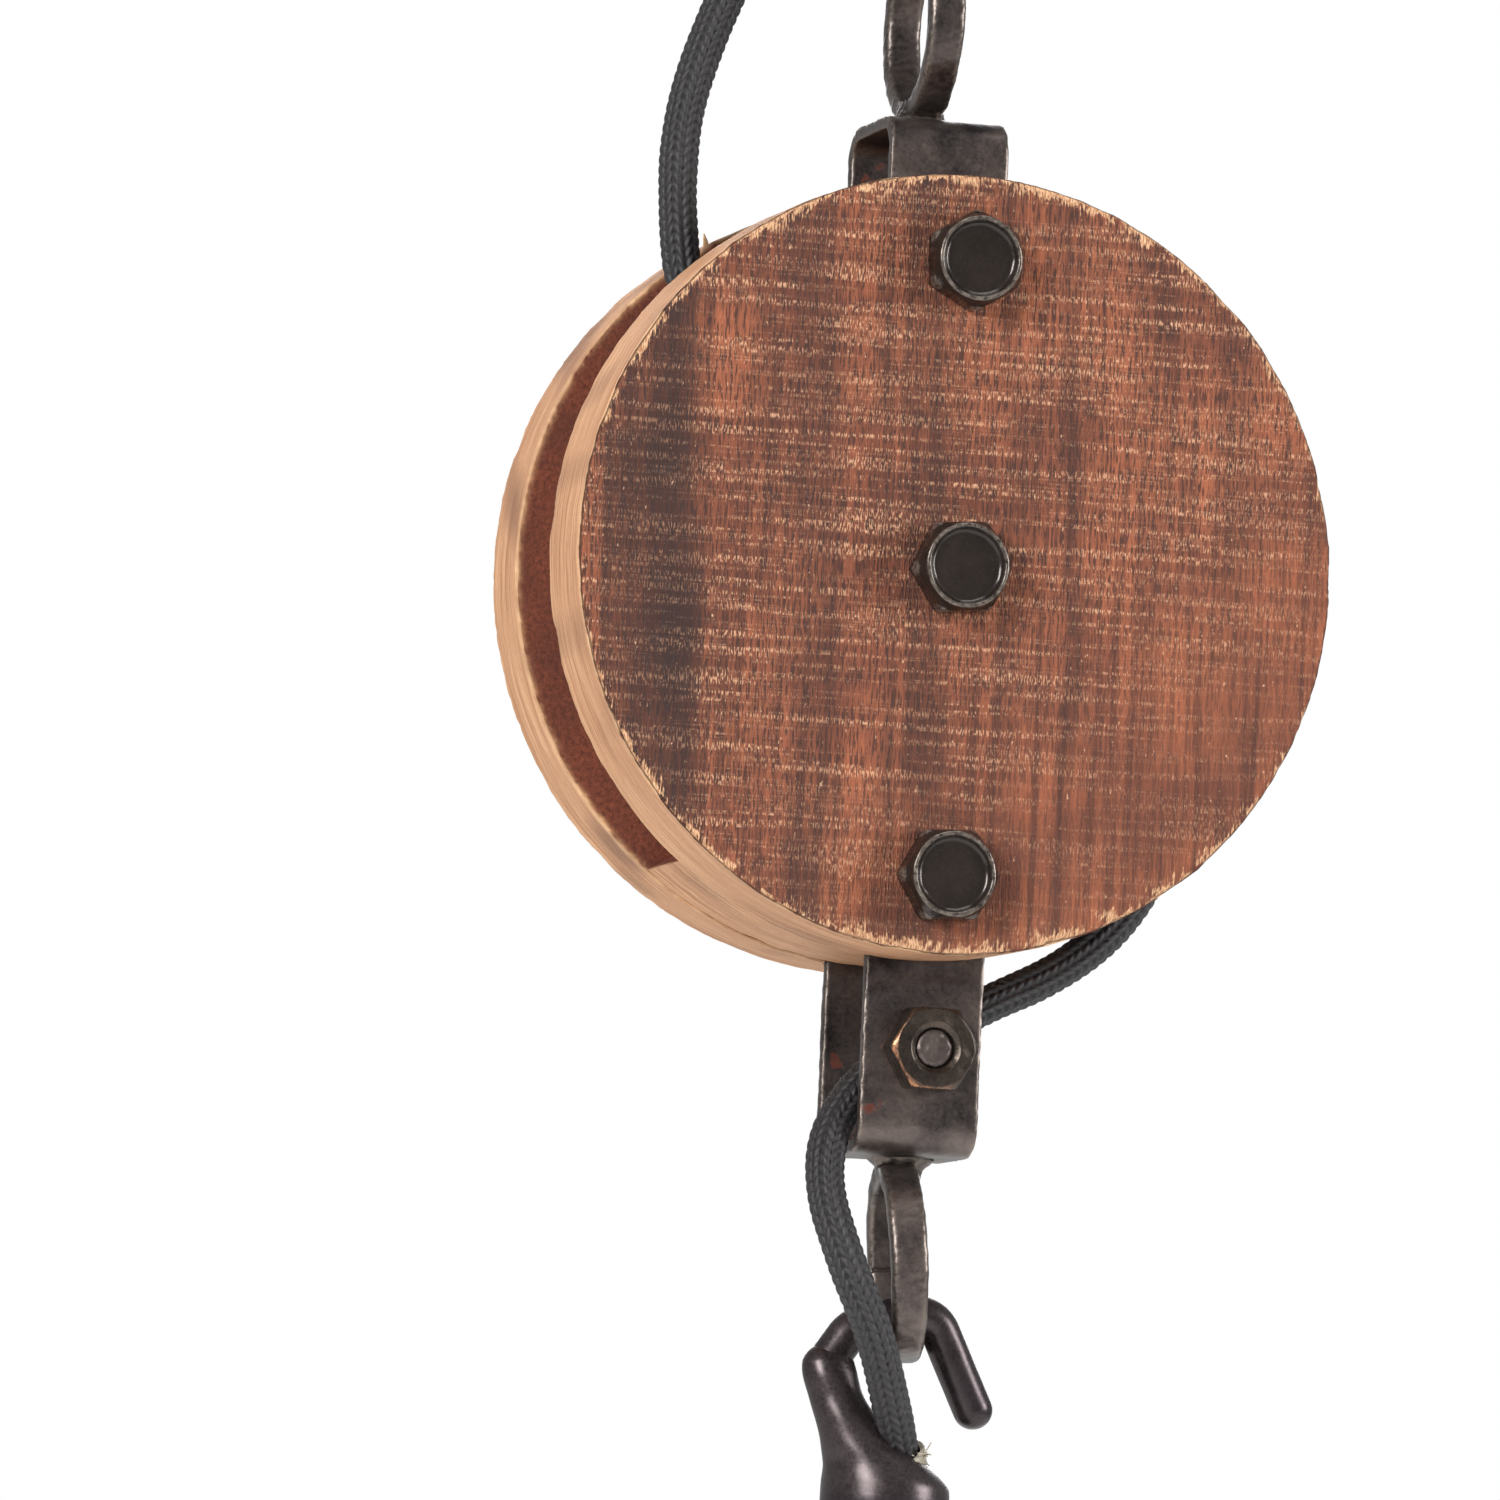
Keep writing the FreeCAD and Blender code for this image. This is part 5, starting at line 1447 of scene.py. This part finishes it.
@dataclass
class Studio:
    """Camera, pale floor, white surround and soft lights."""

    place: tuple[float, float, float] = (-0.522356, -1.776298, -0.333841)
    back: tuple[float, float, float] = (-0.26904343, -0.95876416, -0.09158015)
    azimuth: float = -15.675
    roll: float = 2.569

    def build(self) -> None:
        """Make everything that isn't part of the object."""
        self.camera()
        self.floor()
        self.surround()
        for name, spot, size, watts in (
                ("key_left", (-1.3, -1.1, 0.4), 0.7, 44), ("fill_right", (1.2, -0.7, 0.1), 0.5, 16),
                ("top", (0.1, -0.2, 1.2), 0.9, 16), ("back", (0.4, 1.2, 0.3), 0.9, 12)):
            self.light(name, spot, size, watts)

    def camera(self) -> None:
        """Long lens a little below the block, rolled to match how it hangs."""
        back = np.array(self.back) / np.linalg.norm(self.back)
        azimuth, roll = math.radians(self.azimuth), math.radians(self.roll)
        right = np.array([math.cos(azimuth), math.sin(azimuth), 0])
        up = np.cross(back, right)
        across = right * math.cos(roll) + up * math.sin(roll)
        rise = up * math.cos(roll) - right * math.sin(roll)
        data = bpy.data.cameras.new("camera")
        data.lens, data.sensor_width, data.clip_end = 288, 36, 20
        camera = bpy.data.objects.new("camera", data)
        turn = Matrix(np.stack([across, rise, back], 1).tolist()).to_4x4()
        camera.matrix_world = Matrix.Translation(self.place) @ turn
        bpy.context.scene.collection.objects.link(camera)
        bpy.context.scene.camera = camera

    def floor(self) -> None:
        """Plain pale floor under the hanging block."""
        mesh = bpy.data.meshes.new("floor")
        mesh.from_pydata([(-4, -4, -0.75), (4, -4, -0.75), (4, 4, -0.75), (-4, 4, -0.75)], [], [(0, 1, 2, 3)])
        mesh.materials.append(PlainFinish("floor_paint", "f0f0ee", "f6f6f4", 0.8).material())
        floor = bpy.data.objects.new("floor", mesh)
        bpy.context.scene.collection.objects.link(floor)
        floor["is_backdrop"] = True

    def surround(self) -> None:
        """White world, dimmer to the object's surfaces than the page behind it."""
        world = bpy.data.worlds.new("surround")
        world.use_nodes = True
        nodes, links = world.node_tree.nodes, world.node_tree.links
        dim, page, mix, rays = (nodes.new(f"ShaderNode{kind}") for kind in
                                ("Background", "Background", "MixShader", "LightPath"))
        dim.inputs["Strength"].default_value = 0.42
        for node in (dim, page):
            node.inputs["Color"].default_value = (1, 1, 1, 1)
        links.new(rays.outputs["Is Camera Ray"], mix.inputs[0])
        links.new(dim.outputs[0], mix.inputs[1])
        links.new(page.outputs[0], mix.inputs[2])
        links.new(mix.outputs[0], nodes["World Output"].inputs["Surface"])
        bpy.context.scene.world = world
        bpy.context.scene.view_settings.view_transform = "Standard"

    @staticmethod
    def light(name: str, spot: tuple[float, float, float], size: float, watts: float) -> None:
        """Square soft light aimed at the block.

        Args:
            name: its name.
            spot: where it stands.
            size: side of the square.
            watts: its power.
        """
        data = bpy.data.lights.new(name, "AREA")
        data.shape, data.size, data.energy = "SQUARE", size, watts
        lamp = bpy.data.objects.new(name, data)
        lamp.location = spot
        aim = Vector((0, 0, -0.14)) - Vector(spot)
        lamp.rotation_euler = aim.to_track_quat("-Z", "Y").to_euler()
        bpy.context.scene.collection.objects.link(lamp)


def corners(box: tuple[Vector, Vector]) -> list[list[float]]:
    """Args: box: lowest and highest corner. Returns: both as plain lists."""
    return [list(corner) for corner in box]


def main() -> None:
    """Build the scene."""
    logging.basicConfig(level=logging.INFO, format="%(name)s %(message)s")
    cad_box = corners(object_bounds())
    Studio().build()
    library = Library()
    Cord("cord_upper", library, ((-23, 0, 135), (-23, 0, 112), (-37.2, 0, 80), (-40.5, 0, 61), (-36.6, 0, 34),
                                 (-11.4, 0, 24.6)),
         (Body.CEILING, Body.BLOCK), ((0, 0, -0.018), (0, 0, -0.075)), (-0.023, 0, -0.0165), 0.127).build()
    Cord("cord_lower", library, ((-11.4, 0, 24.6), (13.8, 0, 15.2), (33, 0, -8), (46, 0, -34), (35, 0, -56),
                                 (6.5, -1.5, -69.5), (-8.6, -5.8, -81.5), (-12.6, -9.5, -93.5), (-8.8, -14, -107.5),
                                 (-1.6, -12.3, -121), (6.8, 0.9, -141.4)),
         (Body.BLOCK, Body.CAP), ((0, 0, -0.226), (0, 0, -0.262)), (-0.0114, 0, -0.1114), 0.223).build()
    CeilingFitting(library).build()
    WeldedRing("hanger_ring", library, (-1, 0, 87.1), -2.2, 0.0, -1.0, 71.1, (9.4, 8.0), (6.4, 6.6)).build()
    WeldedRing("lower_ring", library, (3.4, 0, -105.8), -9.1, -4.6, 3.1, -89.8, (10.6, 8.4), (6.4, 7.4),
               seam=1.0).build()
    Strap("hanger_strap", library, 0.6, 71.1, 35.0, (((0, 10, 62), (8, 2, 3), 0.7),)).build()
    Strap("lower_strap", library, 2.3, -89.8, -35.0,
          (((-7, -12, -83), (2.5, 2, 2), 1.0), ((-7.5, 10, -74), (1.5, 2, 3), 0.7))).build()
    Cheek("front_cheek", library, -28.0, -10.0, 200).build()
    Cheek("rear_cheek", library, 24.3, 10.0, 300).build()
    Spacer("top_spacer", library, ((-27, 0), (-22, 39), (22, 39), (30, 0)), 1).build()
    Spacer("bottom_spacer", library, ((-36.8, 0), (-15, -34), (18, -34), (27, 0)), -1).build()
    for place, z, turn in (("bottom", -48.0, 32), ("centre", -0.75, 35), ("top", 46.5, 2)):
        ThroughBolt(place, library, z, turn).build()
    Splinters(library).build()
    StrapClamp(library).build()
    SheaveWheel(library).build()
    HookCap(library).build()
    {"cad": cad_box, "visual": corners(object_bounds())}


if __name__ == "__main__":
    main()
